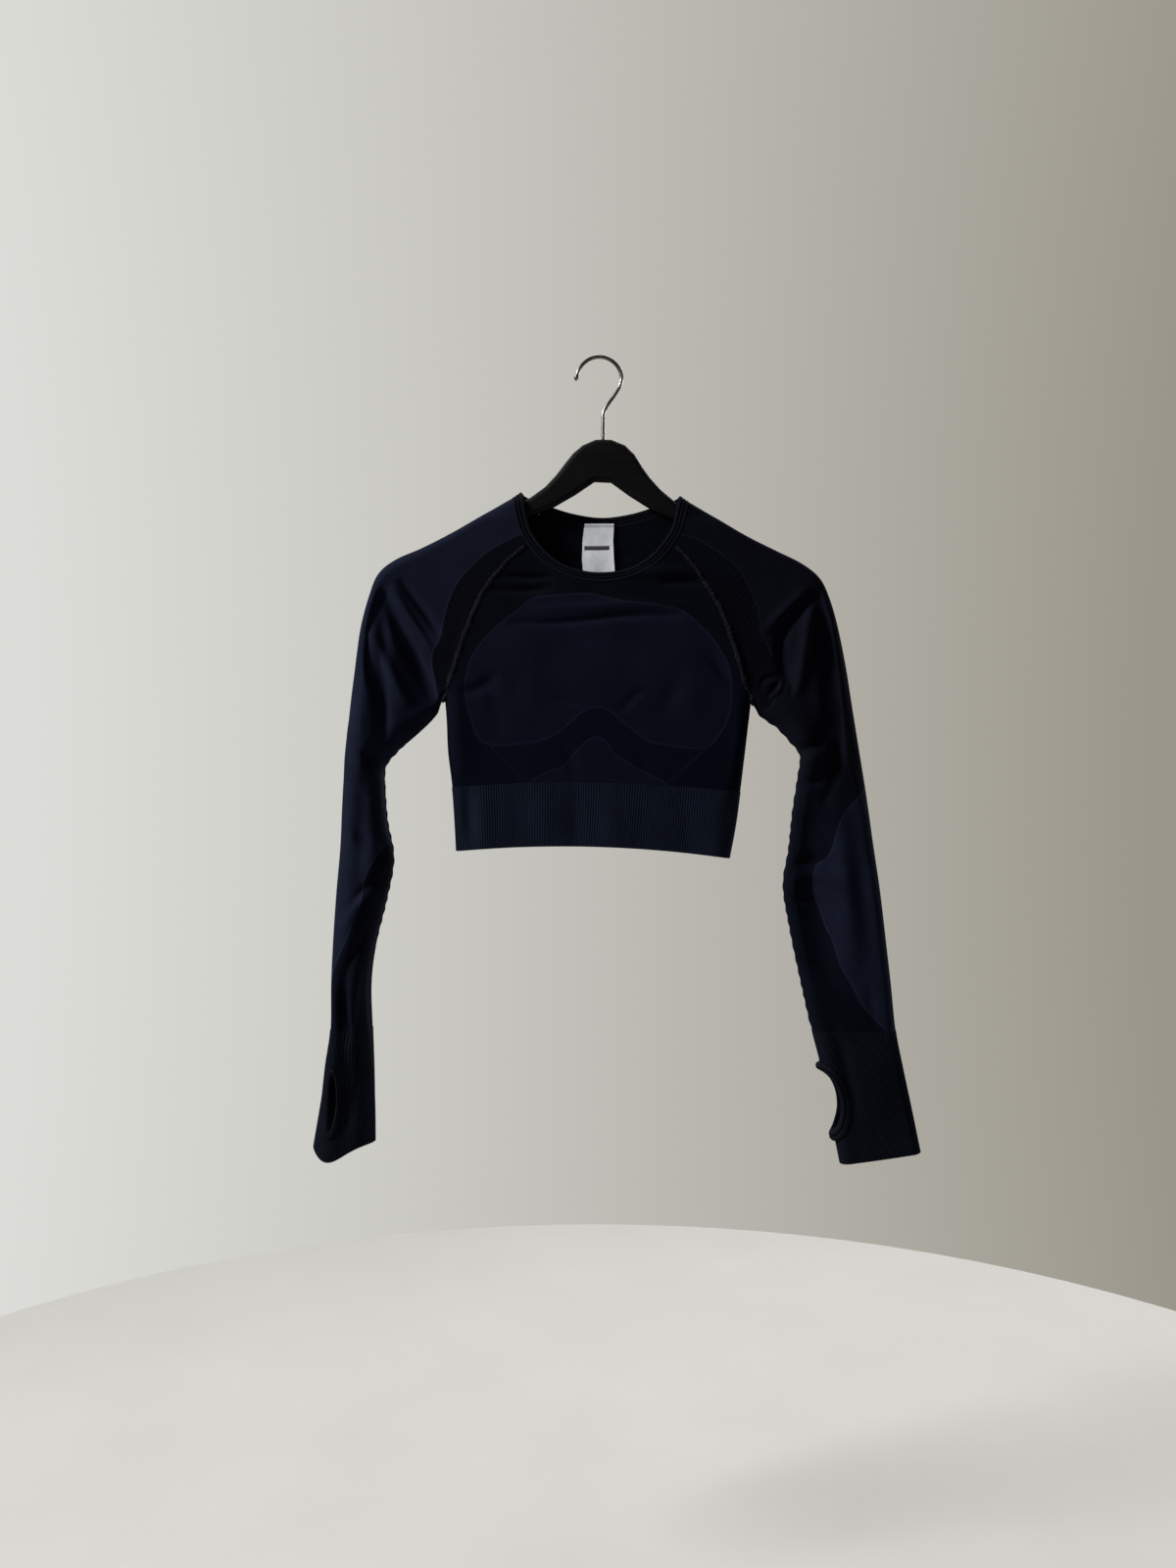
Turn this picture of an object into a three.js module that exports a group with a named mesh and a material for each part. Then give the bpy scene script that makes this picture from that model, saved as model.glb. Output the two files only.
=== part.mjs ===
// A long-sleeve raglan crop top in seamless knit, hanging on a flat hanger with a wire hook.
// Millimetres, +Z up, the front of the top faces -Y. The origin is where the hook rests on its pin.
import * as THREE from 'three';

const CLOTH = 1.2;            // thickness of the knitted wall
const SEAM = 0.4;             // space between pieces, along the cloth
const LAYER = 0.35;           // space between a piece and what lies on it
const RIB_HEIGHT = 0.35;      // how far a rib stands out of its band
const SHOULDER_DEPTH = 9.5;   // half the front-to-back depth over the hanger
const BODY_DEPTH = 12.5;      // half the front-to-back depth of the body
const SIDE_ROUNDING = 16;     // how far from a side edge the body reaches its full depth
const DEPTH_CHANGE = 120;     // height over which the body thins towards the shoulder
const UNDERARM_REACH = 70;    // how far up the raglan that extra space runs
const UNDERARM_SEAM = 1.7;    // extra space where the raglan seam turns round the side fold
const RAGLAN_ROUNDING = 34;   // how far up the raglan the seam leaves the side fold

const RAGLAN_STEPS = 12;      // rows of the body along a raglan seam
const ARC_STEPS = 4;          // steps from a raglan seam to the top of the shoulder
const SLEEVE_STEPS = 2 * (RAGLAN_STEPS + ARC_STEPS);
const FRONT_STEPS = 20;       // columns across the front, and as many across the back
const LOWER_ROWS = 6;         // rows of the body below the armholes

const HEM_RIBS = 234;
const HEM_RATIO = 9;          // outer columns to one inner column
const CUFF_RIBS = 72;
const CUFF_RATIO = 6;

const BAND_ROWS = 2;
const BINDING_WIDTH = 6.5;
const BINDING_STEPS = 28;
const HOLE_HALF_WIDTH = { left: 11, right: 18 };   // of a thumb hole, along the girth of the cuff
const HOLE_NECK = 2.2;        // half width left at the ends of a thumb hole
const HOLE_START = 0.36;      // where a thumb hole starts and ends, as shares of the cuff's length
const HOLE_END = 0.8;
const HOLE_CALM = 6;          // half widths of a hole over which the columns beside it are drawn aside
const BINDING_GAP = 0.6;      // from the edge of a thumb hole to its binding
const CUFF_DROP = { left: 14, right: 0 };   // how far a cuff's end hangs down towards its outer edge

const SEAM_CROWDING = 1.5;    // above 1, the points of a raglan seam are closer towards the underarm
const SIDE_CROWDING = 0.78;   // above 0, the columns of the body are closer towards its sides
const NECK_BEND = 1.6;        // above 1, the rows of the yoke stay straight for longer
const SHOULDER_GATHER = 0.65; // above 0, the columns of a sleeve are closer towards its two edges
const GATHER_END = 8;         // row of the sleeve's table where its columns are even again
const FOLD_START = 0.08;      // share of a fold's shape that is cut off at each end
const FOLD_REACH = 0.8;       // share of a sleeve's depth over which its folds fade at the edges
const FINE_STEPS = 400;       // points across the hem from which even ones are taken
const GIRTH_STEPS = 60;       // points round a cuff from which its girth is measured

const HANGER_THICKNESS = 12;
const HANGER_ROUNDING = 5;
const HANGER_REST = 1.5;      // from the cloth's middle line down to the hanger's top
const WIRE_RADIUS = 2.1;
const BALL_RADIUS = 2.8;
const ARC_CENTRE = { x: -1.1, z: -21.6 };
const ARC_RADIUS = 23.7;

const COLOURS = {
  body: 0x10131c, hem_band: 0x12151e, sleeve: 0x141823, cuff: 0x0e1119,
  neckband: 0x0c0d12, binding: 0x16181f, label: 0xe9e7e2, hanger: 0x15161a, hook: 0xb9bbbd,
};

// Seam at the front of each raglan, from the neck down to the underarm.
const FRONT_RAGLAN = {
  left: [
    { x: -76, z: -197.5 }, { x: -100, z: -217.5 }, { x: -125.4, z: -251.8 },
    { x: -143.4, z: -294.8 }, { x: -157.9, z: -340 }, { x: -164.5, z: -359.5 },
  ],
  right: [
    { x: 77, z: -196.5 }, { x: 94.6, z: -216.5 }, { x: 123.6, z: -260.5 },
    { x: 139.8, z: -302.1 }, { x: 151.6, z: -343 }, { x: 159.5, z: -361.4 },
  ],
};
// Seam at the back of each raglan, which starts higher, at the back of the neck.
const BACK_RAGLAN = {
  left: [
    { x: -64, z: -162 }, { x: -93, z: -196 }, { x: -122, z: -245 },
    { x: -143.4, z: -294.8 }, { x: -158.5, z: -341 }, { x: -164.5, z: -359.5 },
  ],
  right: [
    { x: 66, z: -163 }, { x: 93, z: -198 }, { x: 120, z: -248 },
    { x: 139.8, z: -302.1 }, { x: 152.5, z: -344 }, { x: 159.5, z: -361.4 },
  ],
};

// The neck, as its seam line (x, y, z) and the free edge of its band (ex, ey, ez).
const FRONT_NECK = [
  { x: -76, y: -9.5, z: -197.5, ex: -67.5, ey: -9.5, ez: -193.5 },
  { x: -62.5, y: -9.5, z: -213.7, ex: -56, ey: -9.5, ez: -207.2 },
  { x: -37, y: -9.5, z: -229.3, ex: -33.5, ey: -9.5, ez: -222 },
  { x: 0, y: -9.5, z: -236.6, ex: 0, ey: -9.5, ez: -228 },
  { x: 37, y: -9.5, z: -229.6, ex: 33.5, ey: -9.5, ez: -222.3 },
  { x: 63, y: -9.5, z: -213.5, ex: 56.5, ey: -9.5, ez: -207 },
  { x: 77, y: -9.5, z: -196.5, ex: 68.5, ey: -9.5, ez: -192.5 },
];
const BACK_NECK = [
  { x: -64, y: 9.5, z: -162, ex: -59, ey: 9.5, ez: -153.5 },
  { x: -32, y: 9.5, z: -172, ex: -30, ey: 9.5, ez: -162.5 },
  { x: 2, y: 9.5, z: -176.5, ex: 2, ey: 9.5, ez: -167 },
  { x: 35, y: 9.5, z: -172.5, ex: 33, ey: 9.5, ez: -163 },
  { x: 66, y: 9.5, z: -163, ex: 61, ey: 9.5, ez: -154.5 },
];
const NECK_SIDE = {
  left: {
    front: [
      { x: -76, y: -9.5, z: -197.5, ex: -67.5, ey: -9.5, ez: -193.5 },
      { x: -84, y: -9.5, z: -183, ex: -74.8, ey: -9.5, ez: -181 },
      { x: -88.8, y: -9, z: -167, ex: -78.8, ey: -9, ez: -166 },
      { x: -91, y: -7.4, z: -154, ex: -82, ey: -7.4, ez: -149.5 },
      { x: -92, y: 0, z: -147.6, ex: -83.5, ey: 0, ez: -142 },
    ],
    back: [
      { x: -92, y: 0, z: -147.6, ex: -83.5, ey: 0, ez: -142 },
      { x: -88, y: 7.4, z: -151.5, ex: -80, ey: 7.4, ez: -145 },
      { x: -79, y: 9.2, z: -155.5, ex: -72, ey: 9.2, ez: -148 },
      { x: -64, y: 9.5, z: -162, ex: -59, ey: 9.5, ez: -153.5 },
    ],
  },
  right: {
    front: [
      { x: 77, y: -9.5, z: -196.5, ex: 68.5, ey: -9.5, ez: -192.5 },
      { x: 84.5, y: -9.5, z: -183, ex: 75.3, ey: -9.5, ez: -181 },
      { x: 89, y: -9, z: -168, ex: 79, ey: -9, ez: -167 },
      { x: 91.5, y: -7.6, z: -156.5, ex: 82.5, ey: -7.6, ez: -152 },
      { x: 92.5, y: 0, z: -151.6, ex: 84, ey: 0, ez: -146 },
    ],
    back: [
      { x: 92.5, y: 0, z: -151.6, ex: 84, ey: 0, ez: -146 },
      { x: 89, y: 7.4, z: -154.5, ex: 81, ey: 7.4, ez: -148 },
      { x: 80, y: 9.2, z: -157.5, ex: 73, ey: 9.2, ez: -150 },
      { x: 66, y: 9.5, z: -163, ex: 61, ey: 9.5, ez: -154.5 },
    ],
  },
};

// Sides of the body below the armholes, and the bow of the cross line in the middle.
const BODY_LEVELS = [
  { leftX: -152.2, leftZ: -521.6, rightX: 136.4, rightZ: -529.3, bow: 8.7, depth: 12 },
  { leftX: -154, leftZ: -488, rightX: 143, rightZ: -494, bow: 8, depth: 12.2 },
  { leftX: -156.5, leftZ: -454, rightX: 147.8, rightZ: -459.2, bow: 7.4, depth: 12.4 },
  { leftX: -160.8, leftZ: -417.6, rightX: 152.5, rightZ: -421, bow: 5, depth: 12.6 },
  { leftX: -162.4, leftZ: -384.3, rightX: 156.4, rightZ: -388, bow: 2.5, depth: 12.6 },
  { leftX: -164.5, leftZ: -359.5, rightX: 159.5, rightZ: -361.4, bow: 0, depth: 12.5 },
];
const HEM_LEVEL = 2;          // row of the table where the hem band ends and the body starts

// Sections of each sleeve: outer and inner edge as seen from the front, half depth, and how far
// the section stands forward. A cuff starts at CUFF_STATION.
const SLEEVES = {
  left: [
    { ox: -120.2, oz: -163.8, ix: -167.4, iz: -360.6, depth: 9.5, forward: 0 },
    { ox: -154.5, oz: -183.6, ix: -168.6, iz: -363.4, depth: 9.7, forward: 0 },
    { ox: -188.9, oz: -201.2, ix: -170.4, iz: -368.4, depth: 10.2, forward: 0 },
    { ox: -216.9, oz: -213.7, ix: -172.6, iz: -375.2, depth: 11.5, forward: 0 },
    { ox: -234.6, oz: -228.3, ix: -176.9, iz: -381, depth: 13.5, forward: 0.5 },
    { ox: -244, oz: -251.2, ix: -183.5, iz: -388.2, depth: 16, forward: 1.5 },
    { ox: -253.3, oz: -288.6, ix: -197.2, iz: -400.9, depth: 20, forward: 3 },
    { ox: -259.6, oz: -338.5, ix: -213.8, iz: -415.5, depth: 26, forward: 5 },
    { ox: -264.3, oz: -383.2, ix: -227.4, iz: -432.1, depth: 31, forward: 7 },
    { ox: -266.9, oz: -419.6, ix: -228.9, iz: -450.8, depth: 33, forward: 8 },
    { ox: -270, oz: -471.6, ix: -225.8, iz: -490.4, depth: 31, forward: 9 },
    { ox: -273.1, oz: -518.4, ix: -218.5, iz: -529.9, depth: 28, forward: 10 },
    { ox: -276.2, oz: -563.2, ix: -226.3, iz: -571.5, depth: 30, forward: 10 },
    { ox: -278.3, oz: -612, ix: -238.8, iz: -622.4, depth: 33, forward: 10 },
    { ox: -279.9, oz: -658.8, ix: -244, iz: -664, depth: 34, forward: 10 },
    { ox: -280.9, oz: -706.7, ix: -242.6, iz: -708.8, depth: 33, forward: 10 },
    { ox: -287.7, oz: -748.3, ix: -240, iz: -750.4, depth: 30, forward: 10 },
    { ox: -293.4, oz: -789.9, ix: -238.3, iz: -792, depth: 26, forward: 10 },
    { ox: -301.2, oz: -838, ix: -237.7, iz: -833, depth: 22, forward: 10 },
  ],
  right: [
    { ox: 120, oz: -168, ix: 162.4, iz: -362.6, depth: 9.5, forward: 0 },
    { ox: 153.3, oz: -187.7, ix: 163.6, iz: -365.4, depth: 9.7, forward: 0 },
    { ox: 184.5, oz: -203.3, ix: 165.5, iz: -370.2, depth: 10.2, forward: 0 },
    { ox: 213.6, oz: -217.9, ix: 167.8, iz: -375.2, depth: 11, forward: 0 },
    { ox: 232.3, oz: -233.5, ix: 172.2, iz: -379.6, depth: 12, forward: 0 },
    { ox: 242.7, oz: -255.3, ix: 178.4, iz: -384.3, depth: 13.5, forward: 0.5 },
    { ox: 251.1, oz: -284.4, ix: 187.6, iz: -390.5, depth: 15, forward: 1 },
    { ox: 259.4, oz: -326, ix: 201.1, iz: -405.1, depth: 17, forward: 1.5 },
    { ox: 266.7, oz: -372.8, ix: 212.1, iz: -420.7, depth: 17, forward: 2 },
    { ox: 273.9, oz: -417.6, ix: 209.5, iz: -445.6, depth: 15, forward: 2 },
    { ox: 281.2, oz: -463.3, ix: 204.3, iz: -480, depth: 13, forward: 2 },
    { ox: 287.5, oz: -510.1, ix: 200.1, iz: -519.5, depth: 12, forward: 2 },
    { ox: 294.2, oz: -554.8, ix: 194.4, iz: -558, depth: 11.5, forward: 2 },
    { ox: 299.9, oz: -601.6, ix: 201.1, iz: -602.7, depth: 11.5, forward: 2 },
    { ox: 306.2, oz: -656.8, ix: 212.1, iz: -655.7, depth: 11.5, forward: 2 },
    { ox: 312.2, oz: -711.9, ix: 224.5, iz: -710.8, depth: 11.5, forward: 2 },
    { ox: 319.7, oz: -751.4, ix: 234, iz: -749.3, depth: 11, forward: 2 },
    { ox: 329.1, oz: -796.1, ix: 242.5, iz: -795, depth: 10.5, forward: 2 },
    { ox: 338.4, oz: -841.9, ix: 254.2, iz: -853.3, depth: 10, forward: 2 },
  ],
};
const CUFF_STATION = 15;      // row of each sleeve table where its cuff starts
const CUFF_END = 18;
// Where each thumb hole lies round its cuff: 0 is the inner edge, 0.25 the front, 0.5 the outer edge.
const THUMB = { left: 0.335, right: 0 };

// Main folds at the front. The cloth goes in by depth, or out where depth is negative.
const FOLDS = [
  { x0: -232, z0: -246, x1: -227, z1: -398, width: 9, depth: 6 },
  { x0: -237, z0: -296, x1: -204, z1: -362, width: 8, depth: -3 },
  { x0: -226, z0: -255, x1: -180, z1: -352, width: 8, depth: 3.5 },
  { x0: 228, z0: -251, x1: 193, z1: -290, width: 8, depth: 3.5 },
  { x0: 191, z0: -291, x1: 198, z1: -340, width: 8, depth: 3.5 },
  { x0: 221, z0: -268, x1: 208, z1: -350, width: 8, depth: -3 },
  { x0: 231, z0: -256, x1: 247, z1: -430, width: 9, depth: 4.5 },
  { x0: -268, z0: -650, x1: -266, z1: -800, width: 8, depth: 6 },
  { x0: -246, z0: -452, x1: -250, z1: -560, width: 9, depth: 4 },
  { x0: 250, z0: -480, x1: 262, z1: -640, width: 11, depth: -3 },
];
const BACK_FOLDS = [
  { x0: -230, z0: -250, x1: -236, z1: -390, width: 9, depth: 5 },
  { x0: -222, z0: -262, x1: -182, z1: -350, width: 8, depth: 3 },
  { x0: 228, z0: -256, x1: 205, z1: -340, width: 9, depth: 4 },
  { x0: 234, z0: -270, x1: 248, z1: -420, width: 9, depth: 3.5 },
  { x0: 246, z0: -500, x1: 262, z1: -650, width: 11, depth: -2.5 },
];

// The label, row by row from its top edge. sag lowers the middle of a row.
const LABEL = [
  { z: -173.5, left: -16.5, right: 14.5, y: 7.6, sag: 0 },
  { z: -200, left: -19, right: 13.5, y: 7.4, sag: 0 },
  { z: -214, left: -19, right: 14.5, y: 7.2, sag: 0 },
  { z: -226, left: -18.3, right: 15.4, y: 7.1, sag: 0.5 },
];
const LABEL_STEPS = 4;
const LABEL_THICKNESS = 1;

// Outline of the hanger where it shows in the neck, and its ends and underside.
const HANGER_TOP = [
  { x: -91, z: -156 }, { x: -71.3, z: -145.6 }, { x: -54.7, z: -132.6 }, { x: -44.3, z: -120.1 },
  { x: -33.9, z: -106.6 }, { x: -25.6, z: -97.2 }, { x: -13.1, z: -88.9 }, { x: 2.9, z: -84.8 },
  { x: 20.2, z: -88.9 }, { x: 32.7, z: -97.2 }, { x: 41, z: -109.7 }, { x: 49.3, z: -122.2 },
  { x: 59.7, z: -134.7 }, { x: 76.3, z: -150 }, { x: 94, z: -160 },
];
const HANGER_RIGHT_END = [{ x: 222, z: -229 }, { x: 217, z: -242 }];
const HANGER_UNDERSIDE = [
  { x: 185, z: -230 }, { x: 148, z: -212 }, { x: 110, z: -190 }, { x: 75.3, z: -169 },
  { x: 47.2, z: -157.6 }, { x: 22, z: -139 }, { x: 2.5, z: -128.4 }, { x: -17, z: -137.5 },
  { x: -42.2, z: -155.5 }, { x: -73.4, z: -166 }, { x: -110, z: -187 }, { x: -150, z: -208 },
  { x: -188, z: -227 }, { x: -219, z: -238 },
];
const HANGER_LEFT_END = [{ x: -224, z: -226 }];

const HOOK_ARC_STEPS = 14;
const HOOK_ARC_START = (168 / 180) * Math.PI;
const HOOK_ARC_END = (-2 / 180) * Math.PI;
const HOOK_SHANK = [
  { x: 20.4, z: -29.5 }, { x: 13.9, z: -40.2 }, { x: 7.3, z: -49.4 },
  { x: 3.7, z: -57 }, { x: 3.1, z: -66 }, { x: 3.1, z: -85.7 },
];

const lerp = (a, b, t) => a + (b - a) * t;
const clamp = (a) => Math.min(1, Math.max(0, a));

// A value between the rows of a table, on a smooth line through them.
function between(table, key, at) {
  const i = Math.min(table.length - 2, Math.max(0, Math.floor(at)));
  const t = at - i;
  const b = table[i][key];
  const c = table[i + 1][key];
  const a = i > 0 ? table[i - 1][key] : 2 * b - c;
  const d = i + 2 < table.length ? table[i + 2][key] : 2 * c - b;
  return b + 0.5 * t * (c - a + t * (2 * a - 5 * b + 4 * c - d + t * (3 * (b - c) + d - a)));
}

// Points evenly spaced along a smooth line through the rows of a table.
function along(rows, keys, steps) {
  const line = new THREE.CatmullRomCurve3(
    rows.map((row) => new THREE.Vector3(...keys.map((key) => row[key]))), false, 'centripetal');
  return line.getSpacedPoints(steps);
}

// How far the cloth moves in at a point, as the sum of the folds that pass near it.
function foldAt(table, x, z) {
  let sum = 0;
  for (const f of table) {
    const dx = f.x1 - f.x0;
    const dz = f.z1 - f.z0;
    const share = ((x - f.x0) * dx + (z - f.z0) * dz) / (dx * dx + dz * dz);
    const t = clamp(share);
    const away = Math.hypot(x - f.x0 - t * dx, z - f.z0 - t * dz) / f.width;
    const fade = Math.sqrt(Math.sin(Math.PI * lerp(FOLD_START, 1 - FOLD_START, t)));
    sum += f.depth * Math.exp(-away * away) * fade;
  }
  return sum;
}

// Depth of the flattened body at a distance from its side edge, as a quarter ellipse.
function rounded(distance, reach) {
  const t = 1 - clamp(distance / reach);
  return Math.sqrt(1 - t * t);
}

// Half depth of the body at a height above the underarm.
function fullDepth(height) {
  return lerp(BODY_DEPTH, SHOULDER_DEPTH, clamp(height / DEPTH_CHANGE));
}

// A raglan seam in space, from the underarm up to the neck. It leaves the side fold at the underarm.
function raglan(table, side) {
  const line = new THREE.CatmullRomCurve3(
    table.slice().reverse().map((row) => new THREE.Vector3(row.x, 0, row.z)), false, 'centripetal');
  const foot = line.getPointAt(0);
  const flat = [];
  for (let i = 0; i <= RAGLAN_STEPS; i++) flat.push(line.getPointAt((i / RAGLAN_STEPS) ** SEAM_CROWDING));
  return flat.map((p) => {
    const up = p.distanceTo(foot);
    const full = fullDepth(p.z - foot.z);
    return new THREE.Vector3(p.x, side * full * rounded(up, RAGLAN_ROUNDING), p.z);
  });
}

const SEAMS = {};
for (const which of ['left', 'right']) {
  SEAMS[which] = {
    front: raglan(FRONT_RAGLAN[which], -1),
    back: raglan(BACK_RAGLAN[which], 1),
  };
}

// The seam line and the free edge of one part of the neck.
function neckPart(rows, steps) {
  return { seam: along(rows, ['x', 'y', 'z'], steps), edge: along(rows, ['ex', 'ey', 'ez'], steps) };
}

const NECK = { front: neckPart(FRONT_NECK, FRONT_STEPS), back: neckPart(BACK_NECK, FRONT_STEPS) };
for (const which of ['left', 'right']) {
  NECK[which] = {
    front: neckPart(NECK_SIDE[which].front, ARC_STEPS),
    back: neckPart(NECK_SIDE[which].back, ARC_STEPS),
  };
}

// A sheet is a list of points and a list of triangles. This one is a grid of rows, closed round or open.
function gridFaces(rows, columns, closed, index = (r, c) => r * columns + c, skip = () => false) {
  const faces = [];
  const last = closed ? columns : columns - 1;
  for (let r = 0; r + 1 < rows; r++) {
    for (let c = 0; c < last; c++) {
      if (skip(r, c)) continue;
      const d = (c + 1) % columns;
      faces.push([index(r, c), index(r, d), index(r + 1, d)]);
      faces.push([index(r, c), index(r + 1, d), index(r + 1, c)]);
    }
  }
  return faces;
}

function normalsOf(points, faces) {
  const normals = points.map(() => new THREE.Vector3());
  const e = new THREE.Vector3();
  const f = new THREE.Vector3();
  for (const [a, b, c] of faces) {
    e.subVectors(points[b], points[a]);
    f.subVectors(points[c], points[a]);
    e.cross(f);
    for (const i of [a, b, c]) normals[i].add(e);
  }
  return normals.map((n) => n.normalize());
}

function geometryOf(points, faces) {
  const geometry = new THREE.BufferGeometry();
  geometry.setFromPoints(points);
  geometry.setIndex(faces.flat());
  geometry.computeVertexNormals();
  return geometry;
}

// A wall from a sheet: its points moved out by half the thickness to both sides, with closed edges.
function wall(points, faces, thickness, lift = 0) {
  const normals = normalsOf(points, faces);
  const count = points.length;
  const outer = points.map((p, i) => p.clone().addScaledVector(normals[i], lift + thickness / 2));
  const inner = points.map((p, i) => p.clone().addScaledVector(normals[i], lift - thickness / 2));
  const sides = new Map();
  for (const [a, b, c] of faces) {
    for (const [p, q] of [[a, b], [b, c], [c, a]]) {
      if (!sides.delete(q + ',' + p)) sides.set(p + ',' + q, [p, q]);
    }
  }
  const all = faces.map((f) => f.slice());
  for (const [a, b, c] of faces) all.push([c + count, b + count, a + count]);
  for (const [p, q] of sides.values()) all.push([q, p, p + count], [q, p + count, q + count]);
  return geometryOf([...outer, ...inner], all);
}

// A tube with raised ribs outside over a plain inside, which has one column for every few outside.
// rows holds the points of each level, hole the columns and levels that are left open.
function ribbedTube(rows, ratio, thickness, hole) {
  const columns = rows[0].length;
  const few = columns / ratio;
  const levels = rows.length;
  const points = rows.flat();
  // Columns from the middle of the hole, over 0 to one side of it and under 0 to the other.
  const aside = (c) => ((c - hole.column + 1.5 * columns) % columns) - columns / 2;
  const open = (r, c) => hole && r >= hole.from && r < hole.to && Math.abs(aside(c) + 0.5) < hole.half;
  const fine = gridFaces(levels, columns, true);
  const normals = normalsOf(points, fine);
  const outer = points.map((p, i) => {
    const c = i % columns;
    const plain = hole && Math.abs(aside(c)) <= hole.half;
    const rib = c % 2 && !plain ? RIB_HEIGHT : 0;
    return p.clone().addScaledVector(normals[i], thickness / 2 + rib);
  });
  const inner = [];
  for (let r = 0; r < levels; r++) {
    for (let c = 0; c < few; c++) {
      const i = r * columns + c * ratio;
      inner.push(points[i].clone().addScaledVector(normals[i], -thickness / 2));
    }
  }
  const base = outer.length;
  const faces = gridFaces(levels, columns, true, undefined, open);
  const innerIndex = (r, c) => base + r * few + c;
  for (const [a, b, c] of gridFaces(levels, few, true, innerIndex, (r, c) => open(r, c * ratio))) {
    faces.push([c, b, a]);
  }
  // Closes an edge along one level, from the outer column a to b. up is true on an edge with cloth above.
  const close = (r, first, up) => {
    const a = base + r * few + first;
    const b = base + r * few + (first + 1) % few;
    const turn = (f) => faces.push(up ? f : [f[0], f[2], f[1]]);
    for (let k = 0; k < ratio; k++) {
      const p = r * columns + first * ratio + k;
      const q = r * columns + (first * ratio + k + 1) % columns;
      turn([q, p, k < ratio / 2 ? a : b]);
    }
    turn([a, b, r * columns + first * ratio + Math.ceil(ratio / 2)]);
  };
  for (let c = 0; c < few; c++) {
    close(0, c, true);
    close(levels - 1, c, false);
  }
  if (hole) {
    const start = ((hole.column - hole.half) / ratio + few) % few;
    const wide = (2 * hole.half) / ratio;
    for (let k = 0; k < wide; k++) {
      close(hole.from, (start + k) % few, false);
      close(hole.to, (start + k) % few, true);
    }
    for (let r = hole.from; r < hole.to; r++) {
      for (const [c, flip] of [[start, true], [(start + wide) % few, false]]) {
        const p = r * columns + c * ratio;
        const q = p + columns;
        const a = base + r * few + c;
        const b = a + few;
        const pair = [[p, q, b], [p, b, a]];
        for (const f of pair) faces.push(flip ? [f[0], f[2], f[1]] : f);
      }
    }
  }
  return geometryOf([...outer, ...inner], faces);
}

// One point of the body below the armholes: level is a row of BODY_LEVELS, across runs from the
// left side to the right, side is -1 at the front and 1 at the back.
function bodyPoint(level, across, side) {
  const leftX = between(BODY_LEVELS, 'leftX', level);
  const rightX = between(BODY_LEVELS, 'rightX', level);
  const bow = between(BODY_LEVELS, 'bow', level) * 4 * across * (1 - across);
  const x = lerp(leftX, rightX, across);
  const z = lerp(between(BODY_LEVELS, 'leftZ', level), between(BODY_LEVELS, 'rightZ', level), across) + bow;
  const reach = Math.min(x - leftX, rightX - x);
  return new THREE.Vector3(x, side * between(BODY_LEVELS, 'depth', level) * rounded(reach, SIDE_ROUNDING), z);
}

// Shares across the body that are closer together near its sides.
function spread(i, steps) {
  const t = i / steps;
  return t - SIDE_CROWDING * Math.sin(2 * Math.PI * t) / (2 * Math.PI);
}

// Points of the front or back above the armholes: each row runs from one raglan seam to the other,
// and the rows bend down by degrees until the last one is the neck seam.
function yoke(side) {
  const part = side < 0 ? 'front' : 'back';
  const left = SEAMS.left[part];
  const right = SEAMS.right[part];
  const neck = NECK[part].seam;
  const rows = [];
  for (let r = 1; r <= RAGLAN_STEPS; r++) {
    const bend = (r / RAGLAN_STEPS) ** NECK_BEND;
    const row = [];
    for (let c = 0; c <= FRONT_STEPS; c++) {
      const s = spread(c, FRONT_STEPS);
      const p = new THREE.Vector3(lerp(left[r].x, right[r].x, s), 0, lerp(left[r].z, right[r].z, s));
      const topX = lerp(left[RAGLAN_STEPS].x, right[RAGLAN_STEPS].x, s);
      const topZ = lerp(left[RAGLAN_STEPS].z, right[RAGLAN_STEPS].z, s);
      p.x += (neck[c].x - topX) * bend;
      p.z += (neck[c].z - topZ) * bend;
      const edge = Math.abs(lerp(left[r].y, right[r].y, s));
      const full = Math.max(edge, fullDepth(p.z - left[0].z));
      const reach = Math.max(0, Math.min(p.x - left[r].x, right[r].x - p.x));
      const soft = Math.sin((Math.PI / 2) * clamp(reach / SIDE_ROUNDING));
      const gained = lerp(rounded(reach, SIDE_ROUNDING), soft, edge / full);
      p.y = side * lerp(edge, full, gained);
      row.push(p);
    }
    rows.push(row);
  }
  return rows;
}

function body() {
  const points = [];
  const faces = [];
  const around = 2 * FRONT_STEPS;
  for (let r = 0; r <= LOWER_ROWS; r++) {
    const level = lerp(HEM_LEVEL, BODY_LEVELS.length - 1, r / LOWER_ROWS);
    for (let c = 0; c < around; c++) {
      const front = c <= FRONT_STEPS;
      const s = front ? spread(c, FRONT_STEPS) : spread(around - c, FRONT_STEPS);
      points.push(bodyPoint(level, s, front ? -1 : 1));
    }
  }
  faces.push(...gridFaces(LOWER_ROWS + 1, around, true));
  const top = LOWER_ROWS * around;
  for (const side of [-1, 1]) {
    const rows = yoke(side);
    const base = points.length;
    for (const row of rows) points.push(...row);
    const wide = FRONT_STEPS + 1;
    const index = (r, c) => {
      if (r > 0) return base + (r - 1) * wide + c;
      return side < 0 ? top + c : top + (around - c) % around;
    };
    const made = gridFaces(rows.length + 1, wide, false, index);
    faces.push(...made.map((f) => (side < 0 ? f : [f[0], f[2], f[1]])));
  }
  return wall(points, faces, CLOTH);
}

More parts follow.
